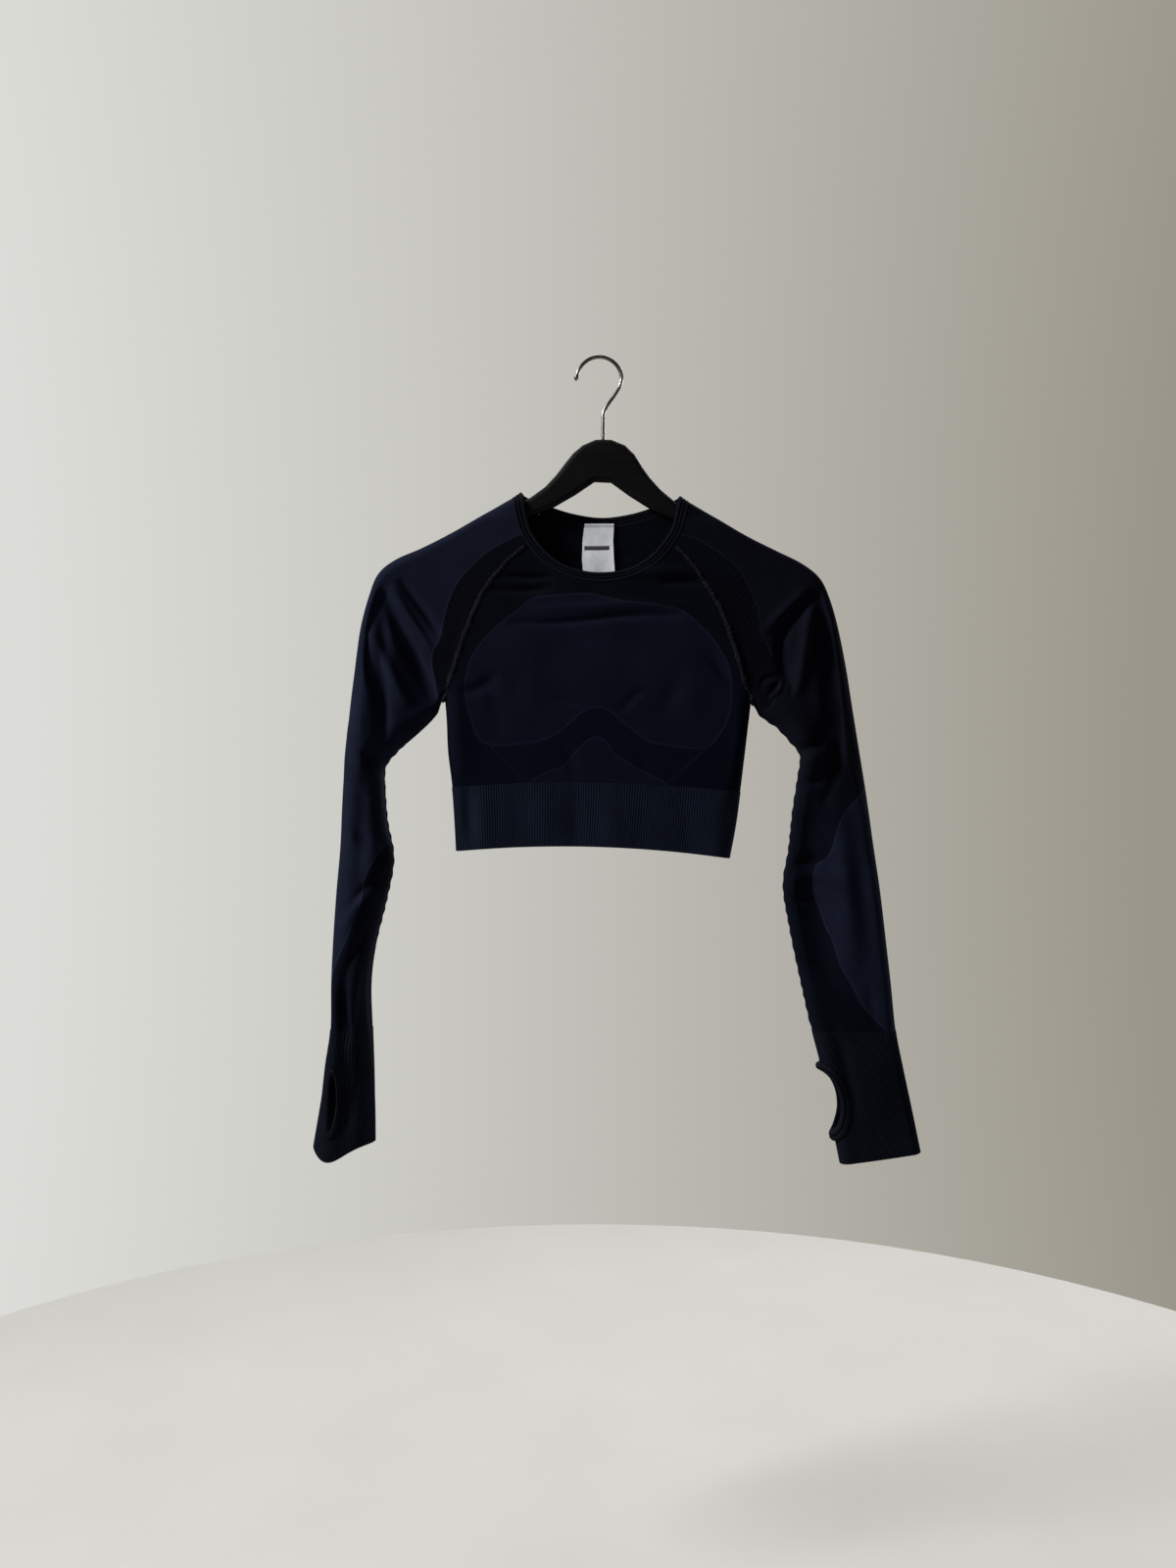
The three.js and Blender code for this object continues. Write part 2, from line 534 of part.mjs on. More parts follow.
// The share of the girth is even round the hem, so that its ribs are too.
function hemBand() {
  const columns = 2 * HEM_RIBS;
  const rows = [];
  for (const level of [0, HEM_LEVEL]) {
    const dense = [];
    for (let i = 0; i < FINE_STEPS; i++) dense.push(bodyPoint(level, spread(i, FINE_STEPS), -1));
    for (let i = FINE_STEPS; i > 0; i--) dense.push(bodyPoint(level, spread(i, FINE_STEPS), 1));
    dense.push(dense[0].clone());
    rows.push(evenly(dense, columns));
  }
  for (const p of rows[1]) p.z -= SEAM;
  return ribbedTube(rows, HEM_RATIO, CLOTH);
}

// Evenly spaced points on a closed line of points whose last repeats its first.
function evenly(line, count) {
  const run = [0];
  for (let i = 1; i < line.length; i++) run.push(run[i - 1] + line[i].distanceTo(line[i - 1]));
  const total = run[run.length - 1];
  const out = [];
  let i = 0;
  for (let k = 0; k < count; k++) {
    const want = (total * k) / count;
    while (run[i + 1] <= want) i++;
    out.push(line[i].clone().lerp(line[i + 1], (want - run[i]) / (run[i + 1] - run[i])));
  }
  return out;
}

// One point of a sleeve: at is a row of its table, turn runs round from the inner edge, over the
// front. The section is a bar with round ends, so straight where the sleeve lies flat.
function sleevePoint(which, at, turn) {
  const table = SLEEVES[which];
  const inner = new THREE.Vector3(between(table, 'ix', at), 0, between(table, 'iz', at));
  const outer = new THREE.Vector3(between(table, 'ox', at), 0, between(table, 'oz', at));
  const depth = between(table, 'depth', at);
  const half = inner.distanceTo(outer) / 2;
  const radius = Math.min(half, depth);
  const flatAcross = half - radius;
  const flatDeep = depth - radius;
  const quarter = flatDeep + (Math.PI / 2) * radius + flatAcross;
  const t = ((turn % 1) + 1) % 1;
  const back = t > 0.5;
  const run = (back ? 1 - t : t) * 4 * quarter;
  const folded = run > 2 * quarter ? 4 * quarter - run : run;
  const mirrored = folded > quarter;
  const s = mirrored ? 2 * quarter - folded : folded;
  let across = -half;
  let deep = s;
  if (s > flatDeep) {
    const angle = Math.min(Math.PI / 2, (s - flatDeep) / radius);
    const rest = Math.max(0, s - flatDeep - (Math.PI / 2) * radius);
    across = -flatAcross - radius * Math.cos(angle) + rest;
    deep = flatDeep + radius * Math.sin(angle);
  }
  if (mirrored) across = -across;
  const p = inner.clone().lerp(outer, 0.5 + across / (2 * half));
  p.y = (back ? deep : -deep) - between(table, 'forward', at);
  const full = clamp(deep / (FOLD_REACH * depth));
  if (back) p.y -= foldAt(BACK_FOLDS, p.x, p.z) * full;
  else p.y += foldAt(FOLDS, p.x, p.z) * full;
  return p;
}

// The first ring of a sleeve, along both raglan seams and over the shoulder beside the neck.
function firstRing(which) {
  const seams = SEAMS[which];
  const neck = NECK[which];
  return [
    ...seams.front,
    ...neck.front.seam.slice(1),
    ...neck.back.seam.slice(1),
    ...seams.back.slice().reverse().slice(1, -1),
  ];
}

const SLEEVE_RINGS = [
  0, 1, 2, 3, 4, 5, 6, 6.8, 7.6, 8.5, 9.5, 10.6, 12, 13.5, CUFF_STATION,
];

function sleeve(which) {
  const first = firstRing(which);
  const rings = SLEEVE_RINGS.map((at) => {
    const ring = [];
    const gather = SHOULDER_GATHER * (1 - clamp(at / GATHER_END));
    for (let c = 0; c < SLEEVE_STEPS; c++) {
      const t = c / SLEEVE_STEPS;
      ring.push(sleevePoint(which, at, t - (gather * Math.sin(4 * Math.PI * t)) / (4 * Math.PI)));
    }
    return ring;
  });
  const moved = first.map((p, c) => {
    const next = first[(c + 1) % SLEEVE_STEPS];
    const last = first[(c + SLEEVE_STEPS - 1) % SLEEVE_STEPS];
    const seam = next.clone().sub(last).normalize();
    const away = rings[0][c].clone().sub(p);
    away.addScaledVector(seam, -away.dot(seam));
    const gap = SEAM + UNDERARM_SEAM * (1 - clamp(p.distanceTo(first[0]) / UNDERARM_REACH));
    return p.clone().add(away.setLength(gap));
  });
  const half = first.map((p, c) => p.clone().lerp(rings[0][c], 0.5));
  const all = [moved, half, ...rings];
  const faces = gridFaces(all.length, SLEEVE_STEPS, true);
  return wall(all.flat(), which === 'left' ? faces : faces.map(([a, b, c]) => [a, c, b]), CLOTH);
}

// The cuff is a ribbed tube. Columns beside the thumb hole are drawn aside, so the hole is a lens.
const CUFF_LEVELS = [0, HOLE_START, 0.47, 0.58, 0.69, HOLE_END, 1];

function cuffGirth(which) {
  let sum = 0;
  const at = (CUFF_STATION + CUFF_END) / 2;
  for (let i = 0; i < GIRTH_STEPS; i++) {
    sum += sleevePoint(which, at, i / GIRTH_STEPS).distanceTo(sleevePoint(which, at, (i + 1) / GIRTH_STEPS));
  }
  return sum;
}

// One point of a cuff: level runs from 0 at its top to 1 at its end, which hangs lower in places.
function cuffPoint(which, level, turn) {
  const at = lerp(CUFF_STATION, CUFF_END, level);
  const p = sleevePoint(which, at, turn);
  const inner = between(SLEEVES[which], 'ix', at);
  const share = clamp((p.x - inner) / (between(SLEEVES[which], 'ox', at) - inner));
  p.z -= CUFF_DROP[which] * level * level * Math.sin(Math.PI * share * share);
  return p;
}

function cuff(which) {
  const columns = 2 * CUFF_RIBS;
  const girth = cuffGirth(which);
  const column = Math.round((THUMB[which] * columns) / CUFF_RATIO) * CUFF_RATIO;
  const half = CUFF_RATIO;
  const side = half / columns;
  const calm = HOLE_CALM * side;
  const rows = CUFF_LEVELS.map((level) => {
    const t = clamp((level - HOLE_START) / (HOLE_END - HOLE_START));
    const open = Math.sin(Math.PI * t) * HOLE_HALF_WIDTH[which];
    const inside = level >= HOLE_START && level <= HOLE_END;
    const target = inside ? Math.max(HOLE_NECK, open) / girth : side;
    const row = [];
    for (let c = 0; c < columns; c++) {
      const away = ((c - column + 1.5 * columns) % columns) / columns - 0.5;
      const size = Math.abs(away);
      let moved = size;
      if (size <= side) moved = (size * target) / side;
      else if (size < calm) moved = target + ((size - side) * (calm - target)) / (calm - side);
      const p = cuffPoint(which, level, column / columns + Math.sign(away) * moved);
      row.push(p);
    }
    return row;
  });
  const next = rows[1];
  rows[0] = rows[0].map((p, c) => p.clone().add(next[c].clone().sub(p).setLength(SEAM)));
  const hole = { column, half, from: CUFF_LEVELS.indexOf(HOLE_START), to: CUFF_LEVELS.indexOf(HOLE_END) };
  if (which === 'left') return ribbedTube(rows, CUFF_RATIO, CLOTH, hole);
  // The right cuff is a mirror image, so its levels run upwards for its faces to turn outwards.
  const last = rows.length - 1;
  const turned = { column, half, from: last - hole.to, to: last - hole.from };
  return ribbedTube(rows.reverse(), CUFF_RATIO, CLOTH, turned);
}

// The binding is a strip round the thumb hole. It lies on the ribs of the cuff.
function thumbBinding(which) {
  const girth = cuffGirth(which);
  const middle = (HOLE_START + HOLE_END) / 2;
  const table = SLEEVES[which];
  const length = table[CUFF_STATION].oz - table[CUFF_END].oz;
  const halfLength = ((HOLE_END - HOLE_START) / 2) * length;
  const rows = [0, 0.5, 1].map((share) => {
    const more = BINDING_GAP + share * BINDING_WIDTH;
    const row = [];
    for (let i = 0; i < BINDING_STEPS; i++) {
      const angle = (2 * Math.PI * i) / BINDING_STEPS;
      const g = (HOLE_HALF_WIDTH[which] + more) * Math.cos(angle);
      const h = (halfLength + more) * Math.sin(angle);
      row.push(cuffPoint(which, middle + h / length, THUMB[which] + g / girth));
    }
    return row;
  });
  const faces = gridFaces(rows.length, BINDING_STEPS, true);
  const lift = CLOTH + RIB_HEIGHT + 3 * LAYER;
  return wall(rows.flat(), which === 'right' ? faces : faces.map(([a, b, c]) => [a, c, b]), CLOTH, lift);
}

// The neck binding stands on the seam line of the neck.
function neckband() {
  const loop = (key) => [
    ...NECK.front[key],
    ...NECK.right.front[key].slice(1),
    ...NECK.right.back[key].slice(1),
    ...NECK.back[key].slice().reverse().slice(1),
    ...NECK.left.back[key].slice().reverse().slice(1),
    ...NECK.left.front[key].slice().reverse().slice(1, -1),
  ];
  const seam = loop('seam');
  const edge = loop('edge');
  const start = seam.map((p, i) => p.clone().add(edge[i].clone().sub(p).setLength(SEAM)));
  const rows = [];
  for (let r = 0; r <= BAND_ROWS; r++) {
    rows.push(start.map((p, i) => p.clone().lerp(edge[i], r / BAND_ROWS)));
  }
  return wall(rows.flat(), gridFaces(rows.length, seam.length, true), CLOTH);
}

// The label hangs inside the back of the neck, with its corners as seen from the front.
function label() {
  const rows = LABEL.map((row) => {
    const out = [];
    for (let c = 0; c <= LABEL_STEPS; c++) {
      const s = c / LABEL_STEPS;
      out.push(new THREE.Vector3(lerp(row.left, row.right, s), row.y, row.z - row.sag * 4 * s * (1 - s)));
    }
    return out;
  });
  return wall(rows.flat(), gridFaces(rows.length, LABEL_STEPS + 1, false), LABEL_THICKNESS);
}

// The hanger's arms run under the shoulders, a little below the outer edges of the sleeves.
function hanger() {
  const arm = (which) => {
    const line = [];
    for (const at of [0, 1, 2, 3]) {
      const dx = between(SLEEVES[which], 'ox', at + 0.1) - between(SLEEVES[which], 'ox', at - 0.1);
      const dz = between(SLEEVES[which], 'oz', at + 0.1) - between(SLEEVES[which], 'oz', at - 0.1);
      const size = Math.hypot(dx, dz);
      const down = which === 'left' ? { x: -dz, z: dx } : { x: dz, z: -dx };
      line.push(new THREE.Vector2(
        between(SLEEVES[which], 'ox', at) + (down.x / size) * HANGER_REST,
        between(SLEEVES[which], 'oz', at) + (down.z / size) * HANGER_REST,
      ));
    }
    return line;
  };
  const points = (rows) => rows.map((row) => new THREE.Vector2(row.x, row.z));
  const shrink = HANGER_ROUNDING;
  const outline = new THREE.Shape();
  const top = [...arm('left').reverse(), ...points(HANGER_TOP), ...arm('right')];
  outline.moveTo(top[0].x, top[0].y);
  outline.splineThru(top.slice(1));
  for (const p of points(HANGER_RIGHT_END)) outline.lineTo(p.x, p.y);
  outline.splineThru(points(HANGER_UNDERSIDE));
  for (const p of points(HANGER_LEFT_END)) outline.lineTo(p.x, p.y);
  const geometry = new THREE.ExtrudeGeometry(outline, {
    depth: HANGER_THICKNESS - 2 * shrink,
    bevelThickness: shrink,
    bevelSize: shrink,
    bevelOffset: -shrink,
    bevelSegments: 3,
    curveSegments: 1,
  });
  geometry.translate(0, 0, -(HANGER_THICKNESS - 2 * shrink) / 2);
  return geometry.rotateX(Math.PI / 2);
}

// The hook is one bent wire: an arc over the pin, then a bend down to the middle of the hanger.
function hookLine() {
  const points = [];
  for (let i = 0; i <= HOOK_ARC_STEPS; i++) {
    const angle = lerp(HOOK_ARC_START, HOOK_ARC_END, i / HOOK_ARC_STEPS);
    points.push(new THREE.Vector3(
      ARC_CENTRE.x + ARC_RADIUS * Math.cos(angle), 0, ARC_CENTRE.z + ARC_RADIUS * Math.sin(angle)));
  }
  for (const row of HOOK_SHANK) points.push(new THREE.Vector3(row.x, 0, row.z));
  return new THREE.CatmullRomCurve3(points, false, 'centripetal');
}

function hook() {
  const section = new THREE.Shape();
  section.absarc(0, 0, WIRE_RADIUS, 0, 2 * Math.PI);
  return new THREE.ExtrudeGeometry(section, { steps: 30, curveSegments: 8, extrudePath: hookLine() });
}

function hookBall() {
  const line = hookLine();
  const tip = line.getPoint(0);
  const out = line.getTangent(0).negate();
  const ball = new THREE.SphereGeometry(BALL_RADIUS, 12, 8);
  return ball.translate(...tip.addScaledVector(out, BALL_RADIUS + 0.1).toArray());
}

const KNIT_FINISH = { roughness: 0.9, metalness: 0 };
const BINDING_FINISH = { roughness: 0.85, metalness: 0 };
const SATIN_FINISH = { roughness: 0.45, metalness: 0 };
const HANGER_FINISH = { roughness: 0.55, metalness: 0 };
const WIRE_FINISH = { roughness: 0.25, metalness: 1 };

const PIECES = [
  { name: 'body', color: COLOURS.body, finish: KNIT_FINISH, make: body },
  { name: 'hem_band', color: COLOURS.hem_band, finish: KNIT_FINISH, make: hemBand },
  { name: 'sleeve_left', color: COLOURS.sleeve, finish: KNIT_FINISH, make: () => sleeve('left') },
  { name: 'sleeve_right', color: COLOURS.sleeve, finish: KNIT_FINISH, make: () => sleeve('right') },
  { name: 'cuff_left', color: COLOURS.cuff, finish: KNIT_FINISH, make: () => cuff('left') },
  { name: 'cuff_right', color: COLOURS.cuff, finish: KNIT_FINISH, make: () => cuff('right') },
  { name: 'neckband', color: COLOURS.neckband, finish: BINDING_FINISH, make: neckband },
  {
    name: 'thumb_binding_left', color: COLOURS.binding, finish: BINDING_FINISH,
    make: () => thumbBinding('left'),
  },
  {
    name: 'thumb_binding_right', color: COLOURS.binding, finish: BINDING_FINISH,
    make: () => thumbBinding('right'),
  },
  { name: 'label', color: COLOURS.label, finish: SATIN_FINISH, make: label },
  { name: 'hanger', color: COLOURS.hanger, finish: HANGER_FINISH, make: hanger },
  { name: 'hook', color: COLOURS.hook, finish: WIRE_FINISH, make: hook },
  { name: 'hook_ball', color: COLOURS.hook, finish: WIRE_FINISH, make: hookBall },
];

const group = new THREE.Group();
group.name = 'crop_top_on_hanger';
for (const piece of PIECES) {
  const material = new THREE.MeshStandardMaterial({ color: piece.color, ...piece.finish });
  const mesh = new THREE.Mesh(piece.make(), material);
  mesh.name = piece.name;
  group.add(mesh);
}

export default group;
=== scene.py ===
"""A long-sleeve raglan crop top in seamless knit, hanging on a flat hanger with a wire hook.

The forms are worked out in millimetres in the frame of the CAD model: +Z up, the front faces -Y,
the origin where the hook rests on its pin. Meshes are made in metres.
"""

import math

import bmesh
import bpy
import numpy as np
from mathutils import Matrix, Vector


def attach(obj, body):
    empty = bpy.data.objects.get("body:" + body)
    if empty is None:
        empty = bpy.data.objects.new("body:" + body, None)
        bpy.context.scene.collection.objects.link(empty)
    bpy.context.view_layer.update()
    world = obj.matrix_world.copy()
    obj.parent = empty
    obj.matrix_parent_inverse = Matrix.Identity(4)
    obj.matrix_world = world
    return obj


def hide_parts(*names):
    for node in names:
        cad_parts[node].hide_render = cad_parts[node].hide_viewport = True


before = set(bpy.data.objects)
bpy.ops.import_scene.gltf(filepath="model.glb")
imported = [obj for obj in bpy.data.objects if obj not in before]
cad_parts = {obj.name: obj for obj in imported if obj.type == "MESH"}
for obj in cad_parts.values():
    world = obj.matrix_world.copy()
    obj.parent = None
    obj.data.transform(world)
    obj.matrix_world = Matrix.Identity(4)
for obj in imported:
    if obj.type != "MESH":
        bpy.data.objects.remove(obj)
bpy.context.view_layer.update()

MM = 0.001

# Sizes of the form. They are the CAD model's, except where the CAD model's own is given beside them.
KNIT = 0.9                 # thickness of the knit (CAD 1.2)
SEAM = 0.4
RIB_HEIGHT = 0.55          # (CAD 0.35)
SHOULDER_DEPTH = 9.5
BODY_DEPTH = 12.5
SIDE_ROUNDING = 16.0
DEPTH_CHANGE = 120.0
RAGLAN_ROUNDING = 34.0
UNDERARM_REACH = 70.0
UNDERARM_SEAM = 1.0        # extra space where the raglan seam turns round the side fold (CAD 1.7)
RAGLAN_STEPS = 12
ARC_STEPS = 4
SLEEVE_STEPS = 2 * (RAGLAN_STEPS + ARC_STEPS)
HEM_RIBS = 234
CUFF_RIBS = 72
HOLE_HALF_WIDTH = {"left": 5.0, "right": 18.0}   # (CAD 11 at the left)
HOLE_START = 0.36
HOLE_END = 0.8
CUFF_STATION = 15
CUFF_END = 18
HEM_LEVEL = 2
THUMB = {"left": 0.335, "right": 0.0}
CUFF_DROP = {"left": 14.0, "right": 0.0}
CUFF_RISE = {"left": 7.0, "right": 1.5}   # how much shorter the soft cuff hangs than its solid
WIRE_RADIUS = 2.1
BALL_RADIUS = 2.8
SEAM_CROWDING = 1.5        # above 1, the points of a raglan seam are closer towards the underarm
SIDE_CROWDING = 0.78       # above 0, the columns of the body are closer towards its sides
NECK_BEND = 1.6            # above 1, the rows of the yoke stay straight for longer
SHOULDER_GATHER = 0.65     # above 0, the columns of a sleeve are closer towards its two edges
GATHER_END = 8             # row of the sleeve's table where its columns are even again
FOLD_START = 0.08          # share of a fold's shape that is cut off at each end
FOLD_REACH = 0.8           # share of a sleeve's depth over which its folds fade at the edges
CREASE_GAIN = 2.3          # depth of a crease for each unit in its row
CREASE_START = 0.06        # share of a crease's shape that is cut off at each end
FAR = 1e3                  # a distance, in millimetres, that counts as nowhere near


def table(names, *rows):
    """A short table as a dictionary of columns."""
    return dict(zip(names.split(), np.array(rows, float).T))


FRONT_RAGLAN = {
    "left": table("x z", (-76, -197.5), (-100, -217.5), (-125.4, -251.8), (-143.4, -294.8),
                  (-157.9, -340), (-164.5, -359.5)),
    "right": table("x z", (77, -196.5), (94.6, -216.5), (123.6, -260.5), (139.8, -302.1),
                   (151.6, -343), (159.5, -361.4)),
}
BACK_RAGLAN = {
    "left": table("x z", (-64, -162), (-93, -196), (-122, -245), (-143.4, -294.8),
                  (-158.5, -341), (-164.5, -359.5)),
    "right": table("x z", (66, -163), (93, -198), (120, -248), (139.8, -302.1),
                   (152.5, -344), (159.5, -361.4)),
}

NECK_COLUMNS = "x y z ex ey ez"
FRONT_NECK = table(
    NECK_COLUMNS,
    (-76, -9.5, -197.5, -67.5, -9.5, -193.5), (-62.5, -9.5, -213.7, -56, -9.5, -207.2),
    (-37, -9.5, -229.3, -33.5, -9.5, -222), (0, -9.5, -236.6, 0, -9.5, -228),
    (37, -9.5, -229.6, 33.5, -9.5, -222.3), (63, -9.5, -213.5, 56.5, -9.5, -207),
    (77, -9.5, -196.5, 68.5, -9.5, -192.5))
BACK_NECK = table(
    NECK_COLUMNS,
    (-64, 9.5, -162, -59, 9.5, -153.5), (-32, 9.5, -172, -30, 9.5, -162.5),
    (2, 9.5, -176.5, 2, 9.5, -167), (35, 9.5, -172.5, 33, 9.5, -163),
    (66, 9.5, -163, 61, 9.5, -154.5))
NECK_SIDE = {
    "left": {
        "front": table(
            NECK_COLUMNS,
            (-76, -9.5, -197.5, -67.5, -9.5, -193.5), (-84, -9.5, -183, -74.8, -9.5, -181),
            (-88.8, -9, -167, -78.8, -9, -166), (-91, -7.4, -154, -82, -7.4, -149.5),
            (-92, 0, -147.6, -83.5, 0, -142)),
        "back": table(
            NECK_COLUMNS,
            (-92, 0, -147.6, -83.5, 0, -142), (-88, 7.4, -151.5, -80, 7.4, -145),
            (-79, 9.2, -155.5, -72, 9.2, -148), (-64, 9.5, -162, -59, 9.5, -153.5)),
    },
    "right": {
        "front": table(
            NECK_COLUMNS,
            (77, -9.5, -196.5, 68.5, -9.5, -192.5), (84.5, -9.5, -183, 75.3, -9.5, -181),
            (89, -9, -168, 79, -9, -167), (91.5, -7.6, -156.5, 82.5, -7.6, -152),
            (92.5, 0, -151.6, 84, 0, -146)),
        "back": table(
            NECK_COLUMNS,
            (92.5, 0, -151.6, 84, 0, -146), (89, 7.4, -154.5, 81, 7.4, -148),
            (80, 9.2, -157.5, 73, 9.2, -150), (66, 9.5, -163, 61, 9.5, -154.5)),
    },
}

BODY_LEVELS = table(
    "left_x left_z right_x right_z bow depth",
    (-152.2, -521.6, 136.4, -529.3, 8.7, 12), (-154, -488, 143, -494, 8, 12.2),
    (-156.5, -454, 147.8, -459.2, 7.4, 12.4), (-160.8, -417.6, 152.5, -421, 5, 12.6),
    (-162.4, -384.3, 156.4, -388, 2.5, 12.6), (-164.5, -359.5, 159.5, -361.4, 0, 12.5))

SLEEVE_COLUMNS = "ox oz ix iz depth forward"
SLEEVES = {
    "left": table(
        SLEEVE_COLUMNS,
        (-120.2, -163.8, -167.4, -360.6, 9.5, 0), (-154.5, -183.6, -168.6, -363.4, 9.7, 0),
        (-188.9, -201.2, -170.4, -368.4, 10.2, 0), (-216.9, -213.7, -172.6, -375.2, 11.5, 0),
        (-234.6, -228.3, -176.9, -381, 13.5, 0.5), (-244, -251.2, -183.5, -388.2, 16, 1.5),
        (-253.3, -288.6, -197.2, -400.9, 20, 3), (-259.6, -338.5, -213.8, -415.5, 26, 5),
        (-264.3, -383.2, -227.4, -432.1, 31, 7), (-266.9, -419.6, -228.9, -450.8, 33, 8),
        (-270, -471.6, -225.8, -490.4, 31, 9), (-273.1, -518.4, -218.5, -529.9, 28, 10),
        (-276.2, -563.2, -226.3, -571.5, 30, 10), (-278.3, -612, -238.8, -622.4, 33, 10),
        (-279.9, -658.8, -244, -664, 34, 10), (-280.9, -706.7, -242.6, -708.8, 33, 10),
        (-287.7, -748.3, -240, -750.4, 30, 10), (-293.4, -789.9, -238.3, -792, 26, 10),
        (-301.2, -838, -237.7, -833, 22, 10)),
    "right": table(
        SLEEVE_COLUMNS,
        (120, -168, 162.4, -362.6, 9.5, 0), (153.3, -187.7, 163.6, -365.4, 9.7, 0),
        (184.5, -203.3, 165.5, -370.2, 10.2, 0), (213.6, -217.9, 167.8, -375.2, 11, 0),
        (232.3, -233.5, 172.2, -379.6, 12, 0), (242.7, -255.3, 178.4, -384.3, 13.5, 0.5),
        (251.1, -284.4, 187.6, -390.5, 15, 1), (259.4, -326, 201.1, -405.1, 17, 1.5),
        (266.7, -372.8, 212.1, -420.7, 17, 2), (273.9, -417.6, 209.5, -445.6, 15, 2),
        (281.2, -463.3, 204.3, -480, 13, 2), (287.5, -510.1, 200.1, -519.5, 12, 2),
        (294.2, -554.8, 194.4, -558, 11.5, 2), (299.9, -601.6, 201.1, -602.7, 11.5, 2),
        (306.2, -656.8, 212.1, -655.7, 11.5, 2), (312.2, -711.9, 224.5, -710.8, 11.5, 2),
        (319.7, -751.4, 234, -749.3, 11, 2), (329.1, -796.1, 242.5, -795, 10.5, 2),
        (338.4, -841.9, 254.2, -853.3, 10, 2)),
}

# Main folds, as in the CAD model: in by depth, or out where depth is negative.
FOLD_COLUMNS = "x0 z0 x1 z1 width depth"
FOLDS = table(
    FOLD_COLUMNS,
    (-232, -246, -227, -398, 9, 6), (-237, -296, -204, -362, 8, -3),
    (-226, -255, -180, -352, 8, 3.5), (228, -251, 193, -290, 8, 3.5),
    (191, -291, 198, -340, 8, 3.5), (221, -268, 208, -350, 8, -3),
    (231, -256, 247, -430, 9, 4.5), (-268, -650, -266, -800, 8, 6),
    (-246, -452, -250, -560, 9, 4), (250, -480, 262, -640, 11, -3))
BACK_FOLDS = table(
    FOLD_COLUMNS,
    (-230, -250, -236, -390, 9, 5), (-222, -262, -182, -350, 8, 3),
    (228, -256, 205, -340, 9, 4), (234, -270, 248, -420, 9, 3.5),
    (246, -500, 262, -650, 11, -2.5))


# Lines and surfaces

def lerp(a, b, t):
    """The value at share t of the way from a to b."""
    return a + (b - a) * t


def clamp(a):
    """A value kept between 0 and 1."""
    return np.clip(a, 0.0, 1.0)


def unit(v):
    """Vectors divided by their length."""
    return v / np.maximum(np.linalg.norm(v, axis=-1), 1e-12)[..., None]


def from_segment(x, z, x0, z0, x1, z1):
    """Distance of points to a straight segment, and the share of the segment that is nearest."""
    dx, dz = x1 - x0, z1 - z0
    t = clamp(((x - x0) * dx + (z - z0) * dz) / (dx * dx + dz * dz))
    return np.hypot(x - x0 - t * dx, z - z0 - t * dz), t


def path_length(points):
    """Running length along the first axis of a line or a grid of points."""
    step = np.linalg.norm(np.diff(points, axis=0), axis=-1)
    return np.concatenate([np.zeros((1,) + step.shape[1:]), np.cumsum(step, axis=0)])


def between(columns, key, at):
    """A value between the rows of a table, on a Catmull-Rom line through them."""
    v = columns[key]
    at = np.asarray(at, float)
    i = np.clip(np.floor(at).astype(int), 0, len(v) - 2)
    t = at - i
    b, c = v[i], v[i + 1]
    a = np.where(i > 0, v[np.maximum(i - 1, 0)], 2 * b - c)
    d = np.where(i + 2 < len(v), v[np.minimum(i + 2, len(v) - 1)], 2 * c - b)
    return b + 0.5 * t * (c - a + t * (2 * a - 5 * b + 4 * c - d + t * (3 * (b - c) + d - a)))


class Line:
    """A centripetal Catmull-Rom line through points, read by its share of length."""

    def __init__(self, points, steps=60):
        """Draws the line through the points, with some steps between each two of them."""
        p = np.asarray(points, float)
        p = np.vstack([2 * p[0] - p[1], p, 2 * p[-1] - p[-2]])
        runs = []
        for k in range(1, len(p) - 2):
            a, b, c, d = p[k - 1 : k + 3]
            ta = np.linalg.norm(b - a) ** 0.5
            tb = np.linalg.norm(c - b) ** 0.5
            tc = np.linalg.norm(d - c) ** 0.5
            m1 = ((b - a) / ta - (c - a) / (ta + tb) + (c - b) / tb) * tb
            m2 = ((c - b) / tb - (d - b) / (tb + tc) + (d - c) / tc) * tb
            t = np.linspace(0, 1, steps, endpoint=False)[:, None]
            t2, t3 = t * t, t * t * t
            runs.append(b + m1 * t + (3 * (c - b) - 2 * m1 - m2) * t2 + (2 * (b - c) + m1 + m2) * t3)
        self.points = np.vstack(runs + [p[-2][None]])
        step = np.linalg.norm(np.diff(self.points, axis=0), axis=1)
        self.length = step.sum()
        self.share = np.concatenate([[0], np.cumsum(step)]) / self.length

    def at(self, u):
        """Points at shares of the line's length."""
        u = np.asarray(u, float)
        return np.stack([np.interp(u, self.share, self.points[:, k]) for k in range(3)], -1)


def rounded(distance, reach):
    """Depth of the flattened body at a distance from its side edge, as a quarter ellipse."""
    t = 1 - clamp(distance / reach)
    return np.sqrt(1 - t * t)


def full_depth(height):
    """Half the depth of the body at a height over the armholes: it thins evenly to the shoulder."""
    return lerp(BODY_DEPTH, SHOULDER_DEPTH, clamp(height / DEPTH_CHANGE))


def fold_at(folds, x, z):
    """How far the cloth moves in, as the sum of the folds that pass near a point."""
    total = np.zeros_like(x)
    for x0, z0, x1, z1, width, depth in zip(*(folds[k] for k in FOLD_COLUMNS.split())):
        away, t = from_segment(x, z, x0, z0, x1, z1)
        along = np.sin(np.pi * clamp(lerp(FOLD_START, 1 - FOLD_START, t)))
        total += depth * np.exp(-((away / width) ** 2)) * np.sqrt(along)
    return total


